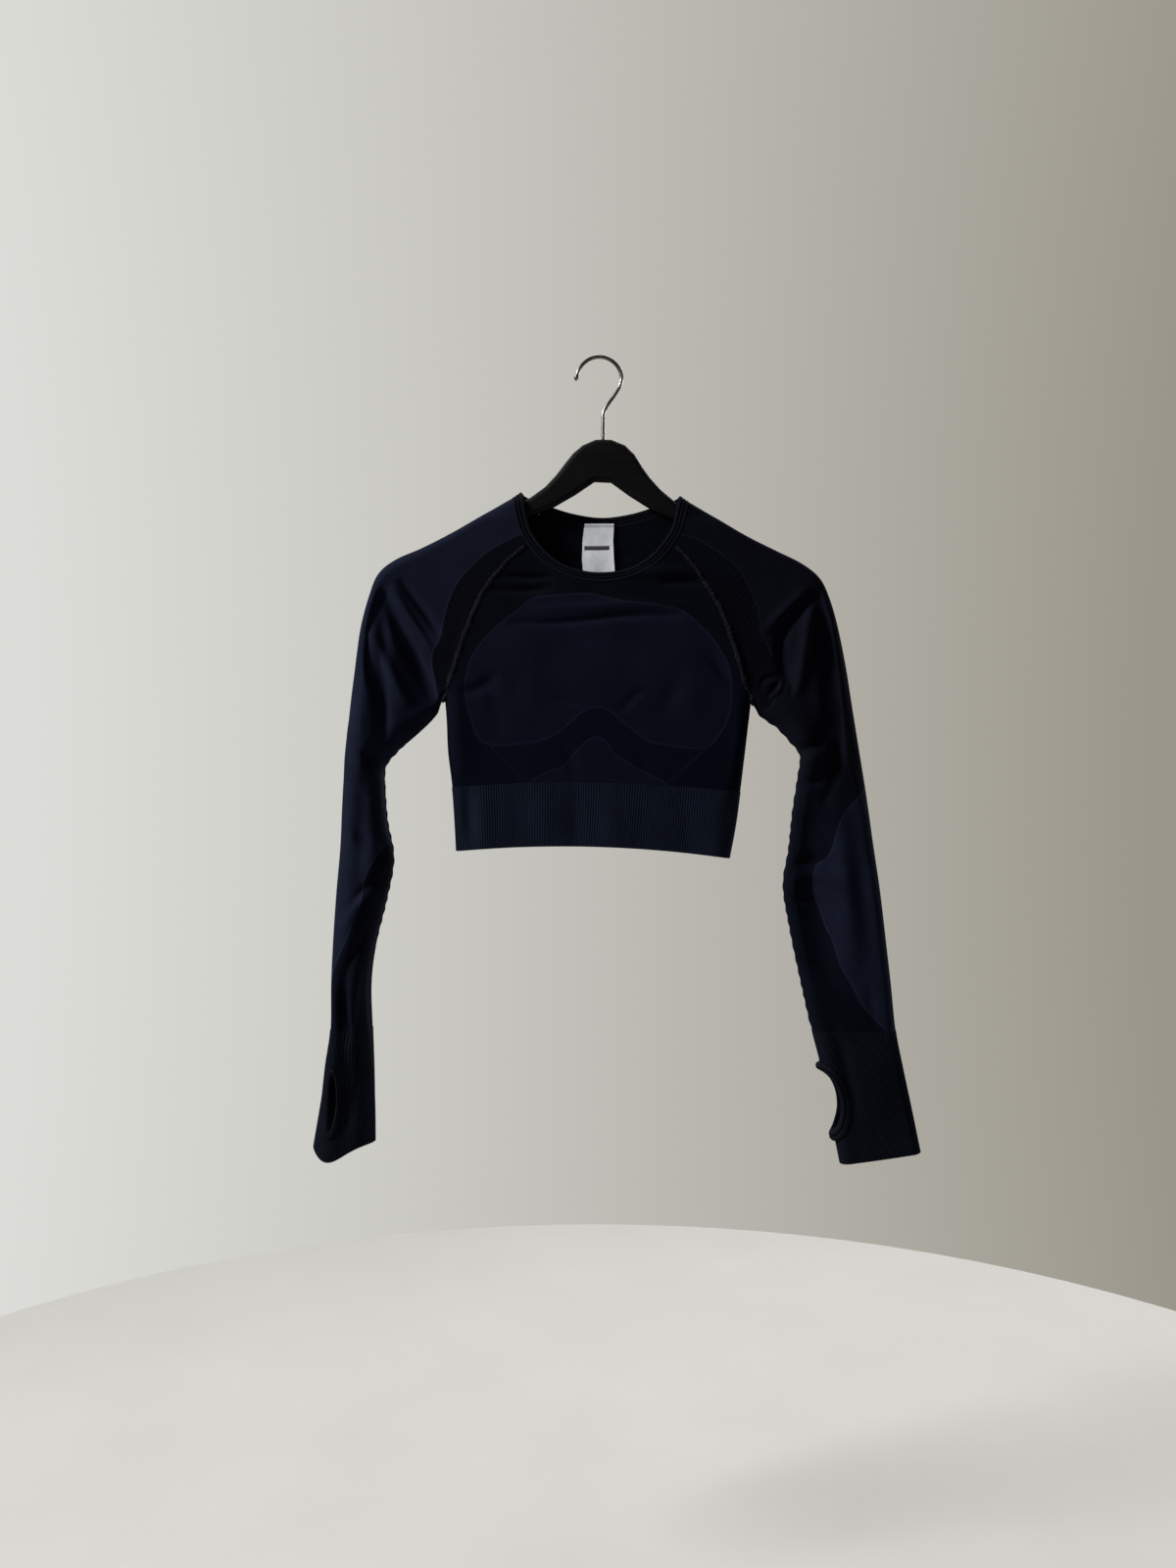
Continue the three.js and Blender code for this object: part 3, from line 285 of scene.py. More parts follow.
class Raglan:
    """One raglan seam in space, from the underarm (0) to the neck (1)."""

    def __init__(self, columns, side):
        """Takes the seam's table in the flat, and its side of the body: -1 front, 1 back."""
        points = np.stack([columns["x"], 0 * columns["x"], columns["z"]], -1)[::-1]
        self.line = Line(points)
        self.foot = self.line.at(0.0)
        self.side = side

    def at(self, w):
        """Points at shares of the seam, in the flat of the cloth and out by the body's depth there."""
        p = self.line.at(np.asarray(w, float) ** SEAM_CROWDING)
        up = np.linalg.norm(p - self.foot, axis=-1)
        p[..., 1] = self.side * full_depth(p[..., 2] - self.foot[2]) * rounded(up, RAGLAN_ROUNDING)
        return p


RAGLAN = {
    which: {"front": Raglan(FRONT_RAGLAN[which], -1), "back": Raglan(BACK_RAGLAN[which], 1)}
    for which in ("left", "right")
}
NECK_KEYS = {"seam": ("x", "y", "z"), "edge": ("ex", "ey", "ez")}


def neck_lines(columns):
    """The seam line and the free edge line of one part of the neck, from its table."""
    return {name: Line(np.stack([columns[key] for key in keys], -1)) for name, keys in NECK_KEYS.items()}


NECK = {"front": neck_lines(FRONT_NECK), "back": neck_lines(BACK_NECK)}
for which, parts in NECK_SIDE.items():
    NECK[which] = {part: neck_lines(columns) for part, columns in parts.items()}


def body_point(level, across, side):
    """The body below the armholes. level is a row of BODY_LEVELS, across runs from left to right."""
    left = between(BODY_LEVELS, "left_x", level)
    right = between(BODY_LEVELS, "right_x", level)
    bow = between(BODY_LEVELS, "bow", level) * 4 * across * (1 - across)
    x = lerp(left, right, across)
    z = lerp(between(BODY_LEVELS, "left_z", level), between(BODY_LEVELS, "right_z", level), across) + bow
    reach = np.minimum(x - left, right - x)
    y = side * between(BODY_LEVELS, "depth", level) * rounded(reach, SIDE_ROUNDING)
    return np.stack(np.broadcast_arrays(x, y, z), -1)


def spread(t):
    """Shares of the way across with the ends drawn closer together, by one turn of a sine."""
    return t - SIDE_CROWDING * np.sin(2 * np.pi * t) / (2 * np.pi)


def yoke_point(w, t, side):
    """The body above the armholes: w runs up the raglan seams, t from the left seam to the right."""
    part = "front" if side < 0 else "back"
    left, right = RAGLAN["left"][part].at(w), RAGLAN["right"][part].at(w)
    top_left, top_right = RAGLAN["left"][part].at(1.0), RAGLAN["right"][part].at(1.0)
    s = spread(t)
    bend = w**NECK_BEND
    neck = NECK[part]["seam"].at(t)
    x = lerp(left[..., 0], right[..., 0], s) + (neck[..., 0] - lerp(top_left[0], top_right[0], s)) * bend
    z = lerp(left[..., 2], right[..., 2], s) + (neck[..., 2] - lerp(top_left[2], top_right[2], s)) * bend
    edge = np.abs(lerp(left[..., 1], right[..., 1], s))
    full = np.maximum(edge, full_depth(z - RAGLAN["left"][part].foot[2]))
    reach = np.maximum(0, np.minimum(x - left[..., 0], right[..., 0] - x))
    soft = np.sin((np.pi / 2) * clamp(reach / SIDE_ROUNDING))
    gained = lerp(rounded(reach, SIDE_ROUNDING), soft, edge / full)
    return np.stack([x, side * lerp(edge, full, gained), z], -1)


def sleeve_point(which, at, turn):
    """A sleeve at a row of its table. turn runs round from the inner edge over the front.

    The section is a bar with round ends, read by its share of the girth.
    """
    columns = SLEEVES[which]
    at, turn = np.broadcast_arrays(np.asarray(at, float), np.asarray(turn, float))
    ix, iz = between(columns, "ix", at), between(columns, "iz", at)
    ox, oz = between(columns, "ox", at), between(columns, "oz", at)
    depth = between(columns, "depth", at)
    half = np.hypot(ox - ix, oz - iz) / 2
    radius = np.minimum(half, depth)
    flat_across, flat_deep = half - radius, depth - radius
    quarter = flat_deep + (np.pi / 2) * radius + flat_across
    t = turn % 1.0
    back = t > 0.5
    run = np.where(back, 1 - t, t) * 4 * quarter
    mirrored = run > quarter
    s = np.where(mirrored, 2 * quarter - run, run)
    angle = np.clip((s - flat_deep) / radius, 0, np.pi / 2)
    rest = np.maximum(0, s - flat_deep - (np.pi / 2) * radius)
    straight = s <= flat_deep
    across = np.where(straight, -half, -flat_across - radius * np.cos(angle) + rest)
    deep = np.where(straight, s, flat_deep + radius * np.sin(angle))
    across = np.where(mirrored, -across, across)
    share = 0.5 + across / (2 * half)
    x, z = lerp(ix, ox, share), lerp(iz, oz, share)
    y = np.where(back, deep, -deep) - between(columns, "forward", at)
    full = clamp(deep / (FOLD_REACH * depth))
    y = y + np.where(back, -fold_at(BACK_FOLDS, x, z), fold_at(FOLDS, x, z)) * full
    return np.stack([x, y, z], -1)


def first_ring(which, turn):
    """The first ring of a sleeve: up the front raglan, over the shoulder, down the back raglan."""
    c = (np.asarray(turn, float) % 1.0) * SLEEVE_STEPS
    a, b = RAGLAN_STEPS, RAGLAN_STEPS + ARC_STEPS
    front = RAGLAN[which]["front"].at(clamp(c / a))
    over = NECK[which]["front"]["seam"].at(clamp((c - a) / ARC_STEPS))
    behind = NECK[which]["back"]["seam"].at(clamp((c - b) / ARC_STEPS))
    back = RAGLAN[which]["back"].at(clamp((SLEEVE_STEPS - c) / a))
    c = c[..., None]
    return np.where(c <= a, front, np.where(c <= b, over, np.where(c <= b + ARC_STEPS, behind, back)))


def gathered(at, turn):
    """Turns round a sleeve drawn towards its two edges, less and less down to GATHER_END."""
    gather = SHOULDER_GATHER * (1 - clamp(np.asarray(at, float) / GATHER_END))
    return turn - gather * np.sin(4 * np.pi * turn) / (4 * np.pi)


# Meshes

def grid(rows, columns, closed=False, first=0):
    """Quads of a grid of points in row order."""
    r = np.arange(rows - 1)[:, None]
    c = np.arange(columns if closed else columns - 1)[None, :]
    d = (c + 1) % columns
    quads = np.stack(np.broadcast_arrays(r * columns + c, r * columns + d,
                                         (r + 1) * columns + d, (r + 1) * columns + c), -1)
    return quads.reshape(-1, 4) + first


def normals_of(points, quads):
    """The unit normal of each point: the sum of the normals of the quads round it, by their size."""
    n = np.cross(points[quads[:, 2]] - points[quads[:, 0]], points[quads[:, 3]] - points[quads[:, 1]])
    out = np.zeros_like(points)
    for k in range(4):
        for axis in range(3):
            out[:, axis] += np.bincount(quads[:, k], n[:, axis], len(points))
    return unit(out)


def facing(points, quads, out):
    """The quads, turned over if they face away from the directions given for their points."""
    return quads[:, ::-1] if (normals_of(points, quads) * out).sum() < 0 else quads


def rim_of(quads, count):
    """Directed edges of quads that have no quad on their other side."""
    a = quads.reshape(-1)
    b = np.roll(quads, -1, axis=1).reshape(-1)
    ahead, behind = a * count + b, b * count + a
    open_edge = ~np.isin(ahead, behind)
    return a[open_edge], b[open_edge]


def add_object(name, data):
    """A new object in the scene for a mesh, a lamp or a camera."""
    obj = bpy.data.objects.new(name, data)
    bpy.context.scene.collection.objects.link(obj)
    return obj


def make_mesh(name, points, quads, uv=None, values=None):
    """A mesh object in metres from points in millimetres, with a UV map and named point values."""
    mesh = bpy.data.meshes.new(name)
    mesh.vertices.add(len(points))
    mesh.vertices.foreach_set("co", (points * MM).astype(np.float32).ravel())
    mesh.loops.add(quads.size)
    mesh.loops.foreach_set("vertex_index", quads.astype(np.int32).ravel())
    mesh.polygons.add(len(quads))
    mesh.polygons.foreach_set("loop_start", (np.arange(len(quads)) * 4).astype(np.int32))
    mesh.polygons.foreach_set("use_smooth", np.ones(len(quads), bool))
    mesh.update(calc_edges=True)
    if uv is not None:
        layer = mesh.uv_layers.new(name="knit")
        layer.data.foreach_set("uv", uv[quads.ravel()].astype(np.float32).ravel())
    for key, value in (values or {}).items():
        attribute = mesh.attributes.new(key, "FLOAT", "POINT")
        attribute.data.foreach_set("value", value.astype(np.float32))
    mesh.validate()
    mesh.set_sharp_from_angle(angle=math.radians(55))
    return add_object(name, mesh)


def closed_mesh(name, rows, ends):
    """A smooth closed mesh object from equal rings of points and one point at each end."""
    around = len(rows[0])
    points = np.vstack([*rows, *ends])
    last = (len(rows) - 1) * around
    first_end, last_end = last + around, last + around + 1
    faces = grid(len(rows), around, closed=True).tolist()
    for c in range(around):
        d = (c + 1) % around
        faces += [(d, c, first_end), (last + c, last + d, last_end)]
    mesh = bpy.data.meshes.new(name)
    mesh.from_pydata((points * MM).tolist(), [], faces)
    mesh.polygons.foreach_set("use_smooth", np.ones(len(mesh.polygons), bool))
    bm = bmesh.new()
    bm.from_mesh(mesh)
    bmesh.ops.recalc_face_normals(bm, faces=bm.faces)
    bm.to_mesh(mesh)
    bm.free()
    return add_object(name, mesh)


def shell(name, points, quads, thickness, uv=None, values=None, lift=0.0, raised=None):
    """A closed thin shell: the sheet's points moved out by half the thickness to both sides.

    The rim is closed with one more row of points in the middle of the wall, pushed out a little,
    so that a cut edge looks turned over.
    """
    n = normals_of(points, quads)
    out = 0.0 if raised is None else raised[:, None]
    outer = points + n * (lift + thickness / 2 + out)
    inner = points + n * (lift - thickness / 2)
    count = len(points)
    a, b = rim_of(quads, count)
    rim = np.unique(np.concatenate([a, b]))
    place = np.full(count, -1)
    place[rim] = np.arange(len(rim))
    toward = np.zeros_like(points)
    along = points[b] - points[a]
    aside = unit(np.cross(along, n[a]))
    for axis in range(3):
        toward[:, axis] = np.bincount(a, aside[:, axis], count) + np.bincount(b, aside[:, axis], count)
    toward = unit(toward)
    middle = points[rim] + n[rim] * lift + toward[rim] * thickness * 0.25
    m = 2 * count + place
    strips = np.concatenate([
        np.stack([b, a, m[a], m[b]], -1),
        np.stack([m[b], m[a], a + count, b + count], -1),
    ])
    faces = np.concatenate([quads, quads[:, ::-1] + count, strips])
    everything = np.concatenate([outer, inner, middle])

    def spread_out(v):
        """The sheet's values again for both sides and the rim."""
        return np.concatenate([v, v, v[rim]])

    return make_mesh(
        name, everything, faces,
        None if uv is None else spread_out(uv),
        {k: spread_out(v) for k, v in (values or {}).items()},
    )


# Creases listed one by one: soft troughs (depth over 0) and ridges (depth under 0) along short lines.

def crease_lines(*rows):
    """Rows of (width, depth, (x, z), (x, z), ...), all in millimetres as seen from the front."""
    out = []
    for width, depth, *points in rows:
        p = np.array([(x, 0.0, z) for x, z in points], float)
        if len(p) > 2:
            path = Line(p, 16).at(np.linspace(0, 1, 18))
        else:
            path = lerp(p[0], p[1], np.linspace(0, 1, 10)[:, None])
        out.append((width, depth, path[:, 0], path[:, 2]))
    return out


def mirrored(side, *rows):
    """Crease rows of the right side, with x times a side of 1 or -1."""
    return [(width, depth, *[(side * x, z) for x, z in points]) for width, depth, *points in rows]


def crease_depth(creases, x, z):
    """How far in each point goes: the sum of bell-shaped troughs that fade out at both ends."""
    total = np.zeros_like(x)
    for width, depth, px, pz in creases:
        reach = 3 * width
        near = (x > px.min() - reach) & (x < px.max() + reach)
        near &= (z > pz.min() - reach) & (z < pz.max() + reach)
        if not near.any():
            continue
        qx, qz = x[near], z[near]
        best = np.full(qx.shape, FAR)
        share = np.zeros(qx.shape)
        steps = len(px) - 1
        for k in range(steps):
            d, t = from_segment(qx, qz, px[k], pz[k], px[k + 1], pz[k + 1])
            closer = d < best
            best = np.where(closer, d, best)
            share = np.where(closer, (k + t) / steps, share)
        fade = np.sin(np.pi * clamp(lerp(CREASE_START, 1 - CREASE_START, share))) ** 0.7
        total[near] += CREASE_GAIN * depth * np.exp(-((best / width) ** 2)) * fade
    return total


def distance_inside(outline, x, z):
    """Signed distance to a closed outline of (x, z) points, over 0 inside, in millimetres."""
    p = np.array([(a, 0.0, b) for a, b in outline + outline[:1]], float)
    path = Line(p, 8).points
    px, pz = path[:, 0], path[:, 2]
    best = np.full(x.shape, FAR)
    inside = np.zeros(x.shape, bool)
    for k in range(len(px) - 1):
        best = np.minimum(best, from_segment(x, z, px[k], pz[k], px[k + 1], pz[k + 1])[0])
        dx, dz = px[k + 1] - px[k], pz[k + 1] - pz[k]
        crosses = (pz[k] > z) != (pz[k + 1] > z)
        at = px[k] + (z - pz[k]) * dx / (dz if dz else 1e-9)
        inside ^= crosses & (x < at)
    return np.where(inside, best, -best)


BODY_CREASES = crease_lines(
    (4.0, 1.2, (-92, -281), (-50, -281), (-13, -278), (30, -273), (84, -273)),
    (5.0, -0.7, (-70, -268), (-10, -264), (40, -261), (95, -262)),
    (3.2, 1.3, (-103, -231), (-78, -233), (-52, -233)),
    (4.5, 1.3, (-112, -245), (-80, -247), (-52, -244)),
    (5.0, -1.1, (33, -229), (70, -227), (106, -229)),
    (4.0, 1.2, (64, -239), (85, -237), (106, -239)),
    (4.0, 0.5, (-64, -353), (-45, -362), (-26, -367)),
    (4.0, 0.5, (43, -352), (32, -362), (23, -374)),
    (12.0, -0.8, (-156, -338), (-153, -372), (-151, -404), (-148, -446)),
    (8.0, -0.6, (150, -348), (149, -376), (147, -400), (144, -440)),
    (9.0, 0.5, (-120, -330), (-112, -362), (-108, -396)),
    (9.0, 0.4, (84, -340), (72, -362), (64, -384)),
    (14.0, -0.5, (-78, -300), (-70, -340), (-78, -380)),
    (14.0, -0.5, (90, -300), (98, -345), (90, -385)),
    (6.0, 0.5, (-46, -404), (-30, -424), (-28, -446)),
    (6.0, 0.4, (30, -408), (44, -428), (48, -446)),
    (6.0, 0.9, (-150, -356), (-128, -350), (-112, -338)),
    (6.0, 1.1, (150, -354), (132, -340), (118, -318)),
)
BODY_BACK_CREASES = crease_lines(
    (6.0, 1.4, (-96, -262), (-40, -270), (20, -266), (90, -270)),
    (6.0, -0.5, (-60, -206), (-20, -212), (34, -207)),
    (6.0, -0.9, (-100, -300), (-30, -312), (60, -302)),
    (9.0, 2.4, (-146, -372), (-143, -404), (-140, -446)),
    (8.0, 2.4, (146, -372), (143, -400), (139, -442)),
    (11.0, 1.3, (-30, -330), (-26, -380), (-34, -440)),
    (10.0, 1.1, (58, -350), (52, -390), (60, -436)),
    (6.0, 1.1, (-150, -356), (-124, -342), (-104, -330)),
    (6.0, 1.1, (148, -356), (128, -338), (110, -322)),
)
HEM_CREASES = crease_lines(
    (11.0, 0.45, (-92, -462), (-88, -490), (-94, -524)),
    (10.0, 0.5, (-25, -460), (-27, -490), (-22, -520)),
    (11.0, 0.4, (42, -458), (44, -488), (40, -520)),
    (12.0, 0.5, (86, -458), (90, -492), (98, -528)),
    (12.0, -0.6, (-126, -462), (-124, -520)),
    (12.0, -0.4, (-60, -462), (-58, -520)),
    (13.0, -0.5, (10, -460), (9, -520)),
    (9.0, 2.0, (-143, -450), (-140, -480), (-137, -512)),
    (7.0, 0.7, (142, -448), (134, -480), (128, -520)),
)
HEM_BACK_CREASES = crease_lines(
    (11.0, 1.4, (-96, -460), (-92, -490), (-98, -520)),
    (11.0, 1.2, (-34, -440), (-36, -480), (-32, -520)),
    (11.0, 1.3, (58, -436), (56, -480), (60, -522)),
    (12.0, -1.1, (-64, -462), (-66, -518)),
    (12.0, -1.1, (14, -460), (12, -520)),
    (10.0, 1.4, (108, -460), (106, -492), (112, -526)),
)
SLEEVE_CREASES = {
    "left": crease_lines(
        (5.0, 2.4, (-230, -250), (-243, -290), (-240, -330), (-229, -365), (-225, -398)),
        (5.0, -1.7, (-237, -296), (-222, -330), (-201, -366)),
        (6.0, 2.4, (-226, -253), (-208, -296), (-190, -332), (-175, -362)),
        (20.0, 1.6, (-214, -296), (-198, -336), (-190, -372)),
        (3.4, -1.3, (-218, -246), (-201, -274), (-178, -308)),
        (4.5, 2.2, (-209, -240), (-190, -264), (-170, -292)),
        (6.0, 1.0, (-250, -300), (-252, -340), (-250, -372)),
        (6.0, 1.8, (-226, -398), (-236, -420), (-240, -446)),
        (5.0, 1.6, (-262, -404), (-244, -418), (-231, -436)),
        (6.0, -1.4, (-262, -424), (-246, -436), (-232, -448)),
        (5.0, 1.4, (-266, -446), (-248, -462), (-232, -474)),
        (6.0, 1.6, (-222, -528), (-240, -516), (-256, -498)),
        (5.0, 1.4, (-224, -548), (-244, -560), (-260, -580)),
        (6.0, -1.2, (-232, -556), (-250, -574), (-264, -600)),
        (6.0, 1.6, (-240, -600), (-254, -626), (-264, -650)),
        (5.0, 2.6, (-264, -650), (-267, -685), (-262, -716)),
        (14.0, 2.9, (-250, -680), (-252, -735), (-262, -784), (-266, -824)),
        (24.0, 2.0, (-240, -670), (-240, -740), (-244, -810)),
        (6.0, -1.4, (-252, -640), (-254, -680), (-252, -708)),
    ),
    "right": crease_lines(
        (4.5, 2.0, (229, -250), (214, -262), (200, -276), (192, -292), (189, -318), (198, -340)),
        (5.0, 2.0, (230, -254), (236, -282), (241, -318), (244, -352)),
        (5.0, -1.6, (221, -268), (214, -310), (208, -352)),
        (30.0, 3.0, (250, -280), (266, -335), (275, -390), (283, -450)),
        (16.0, 2.0, (206, -352), (232, -392), (250, -432)),
        (14.0, -1.6, (206, -386), (216, -420), (214, -446)),
        (13.0, 1.6, (224, -470), (221, -520), (224, -570), (233, -620), (245, -662)),
        (32.0, 2.4, (214, -480), (212, -540), (222, -600), (236, -670)),
        (30.0, 2.6, (322, -716), (330, -770), (336, -830)),
        (7.0, 1.2, (246, -706), (258, -750), (268, -800)),
        (2.6, 1.0, (169, -350), (171, -342), (182, -337), (195, -340), (201, -346), (199, -357)),
        (2.8, -0.9, (174, -346), (183, -343), (190, -344)),
        (2.4, -0.8, (191, -345), (186, -354), (180, -361)),
        (2.2, 0.8, (186, -346), (181, -352), (176, -358)),
        (5.0, -1.4, (215, -248), (194, -268), (172, -290)),
        (5.5, 1.6, (246, -350), (250, -400), (246, -440), (236, -470)),
        (5.0, 1.6, (214, -416), (230, -404), (242, -384)),
        (5.0, -1.2, (214, -430), (232, -420), (250, -402)),
        (5.0, 1.4, (208, -452), (228, -446), (246, -430)),
        (6.0, 1.4, (204, -486), (226, -494), (244, -512)),
        (6.0, 1.6, (198, -536), (222, -530), (250, -540)),
        (5.5, -1.2, (198, -552), (226, -548), (256, -560)),
        (5.0, 1.4, (198, -574), (222, -572), (246, -588)),
        (8.0, 0.5, (270, -520), (276, -570), (284, -620)),
        (9.0, -0.5, (258, -530), (264, -580), (272, -640)),
        (6.0, 1.2, (212, -640), (236, -648), (262, -668)),
        (6.0, 0.6, (282, -660), (286, -690), (290, -708)),
    ),
}
SLEEVE_BACK_CREASES = {
    which: crease_lines(*mirrored(
        side,
        (5.5, 2.0, (230, -252), (240, -292), (236, -336), (228, -380)),
        (6.0, -1.4, (222, -268), (208, -306), (192, -340)),
        (5.0, 1.6, (216, -262), (196, -300), (178, -350)),
        (5.5, 1.5, (258, -410), (244, -424), (230, -440)),
        (5.5, -1.2, (262, -432), (248, -448), (230, -456)),
        (6.0, 1.3, (224, -520), (246, -512), (266, -520)),
        (6.0, 1.4, (230, -560), (250, -580), (264, -612)),
        (6.0, 1.3, (262, -640), (268, -676), (270, -706)),
    ))
    for which, side in (("left", -1), ("right", 1))
}

FRONT_CREASES = BODY_CREASES + HEM_CREASES
BACK_CREASES = BODY_BACK_CREASES + HEM_BACK_CREASES
for which in ("left", "right"):
    FRONT_CREASES = FRONT_CREASES + SLEEVE_CREASES[which]
    BACK_CREASES = BACK_CREASES + SLEEVE_BACK_CREASES[which]

# Outlines of the knitted zones, as seen from the front.
CHEST = [
    (-110.9, -286), (-125.4, -302.1), (-136.2, -318.8), (-142.6, -348.9), (-140, -367.1),
    (-135.3, -385.3), (-129, -401.4), (-118.1, -409.2), (-103.6, -410.3), (-80.7, -408.2),
    (-62, -405.1), (-46.4, -397.8), (-34.9, -389.5), (-24.5, -379.1), (-13.6, -372.5),
    (-2.7, -369.7), (11.9, -376), (22.3, -385.3), (34.7, -394.2), (49.3, -405.1),
    (69.1, -410.3), (98.2, -413.1), (112.7, -412.4), (127.3, -395.7), (134.6, -381.2),
    (137.7, -363.5), (137.7, -343.7), (134.6, -326), (127.3, -311.5), (115.9, -294.8),
    (103.4, -282.4), (90.9, -271.5), (78.4, -265.3), (20.2, -257.4), (-13.6, -250.1),
    (-47.4, -252.2), (-71.3, -255.3), (-91.1, -270.9),
]
ARCH = [
    (-78.6, -452), (-64.1, -442.5), (-53.7, -437.3), (-39.1, -432.1), (-26.6, -417.6),
    (-13.6, -405.1), (-2.7, -401.4), (7.7, -408.2), (15, -419.6), (26.4, -426.9),
    (44.1, -437.3), (58.7, -444.6), (71.1, -452), (71, -470), (-78, -470),
]
BAND = [
    (-119, -409.2), (-103.6, -410.3), (-80.7, -408.2), (-62, -405.1), (-46.4, -397.8),
    (-34.9, -389.5), (-24.5, -379.1), (-13.6, -372.5), (-2.7, -369.7), (11.9, -376),
    (22.3, -385.3), (34.7, -394.2), (49.3, -405.1), (69.1, -410.3), (98.2, -413.1),
    (113.5, -412.4), (92, -433), (71, -456), (0, -462), (-78, -456), (-98, -430),
]
SIDE_LINES = [[(-118.1, -409.2), (-78.6, -449)], [(112.7, -412.4), (71.1, -449)]]
HALO = [(-62, -350), (-48, -326), (-22.5, -307.3), (2.5, -300), (26.4, -312), (44, -332), (58, -352)]
HALO_STEPS = 40            # points from which the distance to the halo's line is measured
BACK_PANEL = [
    (-104, -262), (-124, -300), (-132, -348), (-124, -392), (-96, -418), (-44, -402),
    (0, -392), (44, -402), (94, -420), (122, -394), (128, -346), (118, -296), (100, -262),
    (52, -238), (0, -230), (-54, -238),
]
SLEEVE_PANEL = {
    "left": [
        (-78, -187), (-88, -189.4), (-104, -197.4), (-122.3, -208.8), (-136, -221.4),
        (-149.8, -237.4), (-158.9, -255.7), (-164.6, -276.3), (-169.2, -296.9),
        (-177.2, -315.2), (-175, -340),
        (-167, -366), (-150, -366), (-130, -300), (-100, -230), (-70, -200),
    ],
    "right": [
        (84, -188), (100, -192), (121.1, -204.4), (142.9, -221), (155.4, -240.8),
        (164.7, -262.6), (169.9, -290.7), (181.4, -316.7), (190, -334), (176, -372),
        (150, -372), (130, -300), (100, -230), (70, -200),
    ],
}
# The forearm zones are lighter in the sleeves' material, partly as their own knit and partly as painted
# light: at the left the outline takes in the whole outer strip of the sleeve, on the side that faces the
# lamp.
FOREARM = {
    "left": [
        (-214, -500), (-222, -512), (-242.3, -543.9), (-248.1, -574.6), (-259.6, -605.3),
        (-273.6, -636), (-282, -656), (-310, -650), (-320, -400), (-300, -140), (-90, -130),
        (-110, -380), (-200, -450),
    ],
    "right": [
        (290, -446), (276, -460.2), (254.2, -484.1), (239.6, -526.8), (227, -538.2), (225.1, -560),
        (230.9, -580.8), (238, -602.7), (243, -612), (253.1, -643.2), (264.6, -663),
        (275, -682.8), (289.5, -699.4), (312, -716), (340, -700), (330, -500),
    ],
}


# Cloth pieces

BODY_COLUMNS = 170
BODY_LOWER = 44            # rows of the body below the armholes
BODY_UPPER = 92            # rows above them
YOKE_CROWDING = 0.85       # below 1, the rows of the yoke are closer towards the neck
BACK_SHIFT = 400.0         # from the knit map of the front to that of the back
HEM_FINE = 4               # columns for each rib of the hem band
HEM_LEVELS = 15
HEM_LENGTH = 68.0
CUFF_FINE = 6              # columns for each rib of a cuff
CUFF_LENGTH = 140.0
SLEEVE_COLUMNS_FINE = 192
SLEEVE_ROWS_FINE = 176     # rows from the first ring of the table to the cuff
FAN_ROWS = 14              # rows between the raglan seam and that ring
SOFT_ROWS = 16             # rows past the fan that are smoothed with it
SOFT_PASSES = 10
SLEEVE_TURN = 200.0        # length of one turn in a sleeve's knit map


def creased(points, quads):
    """The sheet with each point moved along its normal by the creases, less where it turns a side."""
    n = normals_of(points, quads)
    x, z = points[:, 0], points[:, 2]
    depth = np.where(n[:, 1] > 0, crease_depth(BACK_CREASES, x, z), crease_depth(FRONT_CREASES, x, z))
    # Slow waves of the whole cloth, under the creases.
    depth += 0.35 * np.sin(x / 19 + 1.4 * np.sin(z / 33)) * np.sin(z / 24 + 1.1 * np.sin(x / 41))
    depth *= clamp(1.3 * np.abs(n[:, 1]))
    return points - n * depth[:, None]


def make_body():
    """The knitted tube: a front and a back sheet whose points are shared down the sides.

    The point values say how far each place lies from the outlines of the knitted zones.
    """
    t = np.arange(BODY_COLUMNS + 1) / BODY_COLUMNS
    low = lerp(HEM_LEVEL, 5.0, np.arange(BODY_LOWER + 1) / BODY_LOWER)
    up = np.arange(1, BODY_UPPER + 1) / BODY_UPPER
    sheets = []
    for side in (-1, 1):
        lower = body_point(low[:, None], spread(t)[None, :], side)
        upper = yoke_point((up**YOKE_CROWDING)[:, None], t[None, :], side)
        sheets.append(np.concatenate([lower, upper]))
    front, back = sheets
    rows, wide = front.shape[0], BODY_COLUMNS + 1
    points = np.concatenate([front.reshape(-1, 3), back.reshape(-1, 3)])
    index = np.arange(len(points))
    # The back's side points below the armholes are the front's own.
    second = np.arange(rows * wide).reshape(rows, wide) + rows * wide
    first = np.arange(rows * wide).reshape(rows, wide)
    for c in (0, -1):
        index[second[: BODY_LOWER + 1, c]] = first[: BODY_LOWER + 1, c]
    quads = np.concatenate([grid(rows, wide), grid(rows, wide, first=rows * wide)[:, ::-1]])
    quads = index[quads]
    used, packed = np.unique(quads, return_inverse=True)
    quads = packed.reshape(-1, 4)
    uv = np.concatenate([
        np.stack([sheet[..., 0] + shift, sheet[..., 2]], -1).reshape(-1, 2)
        for sheet, shift in ((front, 0), (back, BACK_SHIFT))
    ])
    points, uv = points[used], uv[used]
    is_back = used >= rows * wide
    x, z = points[:, 0], points[:, 2]
    away = np.full(x.shape, FAR)
    for a, b in SIDE_LINES:
        away = np.minimum(away, from_segment(x, z, *a, *b)[0])
    halo = np.full(x.shape, FAR)
    arc = Line([(a, 0, b) for a, b in HALO]).at(np.linspace(0, 1, HALO_STEPS))
    for at_x, _, at_z in arc[:-1]:
        halo = np.minimum(halo, np.hypot(x - at_x, z - at_z))
    values = {
        "chest": np.where(is_back, distance_inside(BACK_PANEL, x, z), distance_inside(CHEST, x, z)),
        "arch": np.where(is_back, -FAR, distance_inside(ARCH, x, z)),
        "line": np.where(is_back, FAR, away),
        "halo": np.where(is_back, FAR, halo),
        "band": np.where(is_back, -FAR, distance_inside(BAND, x, z)),
    }
    return shell("knit_body", creased(points, quads), quads, KNIT, uv, values)


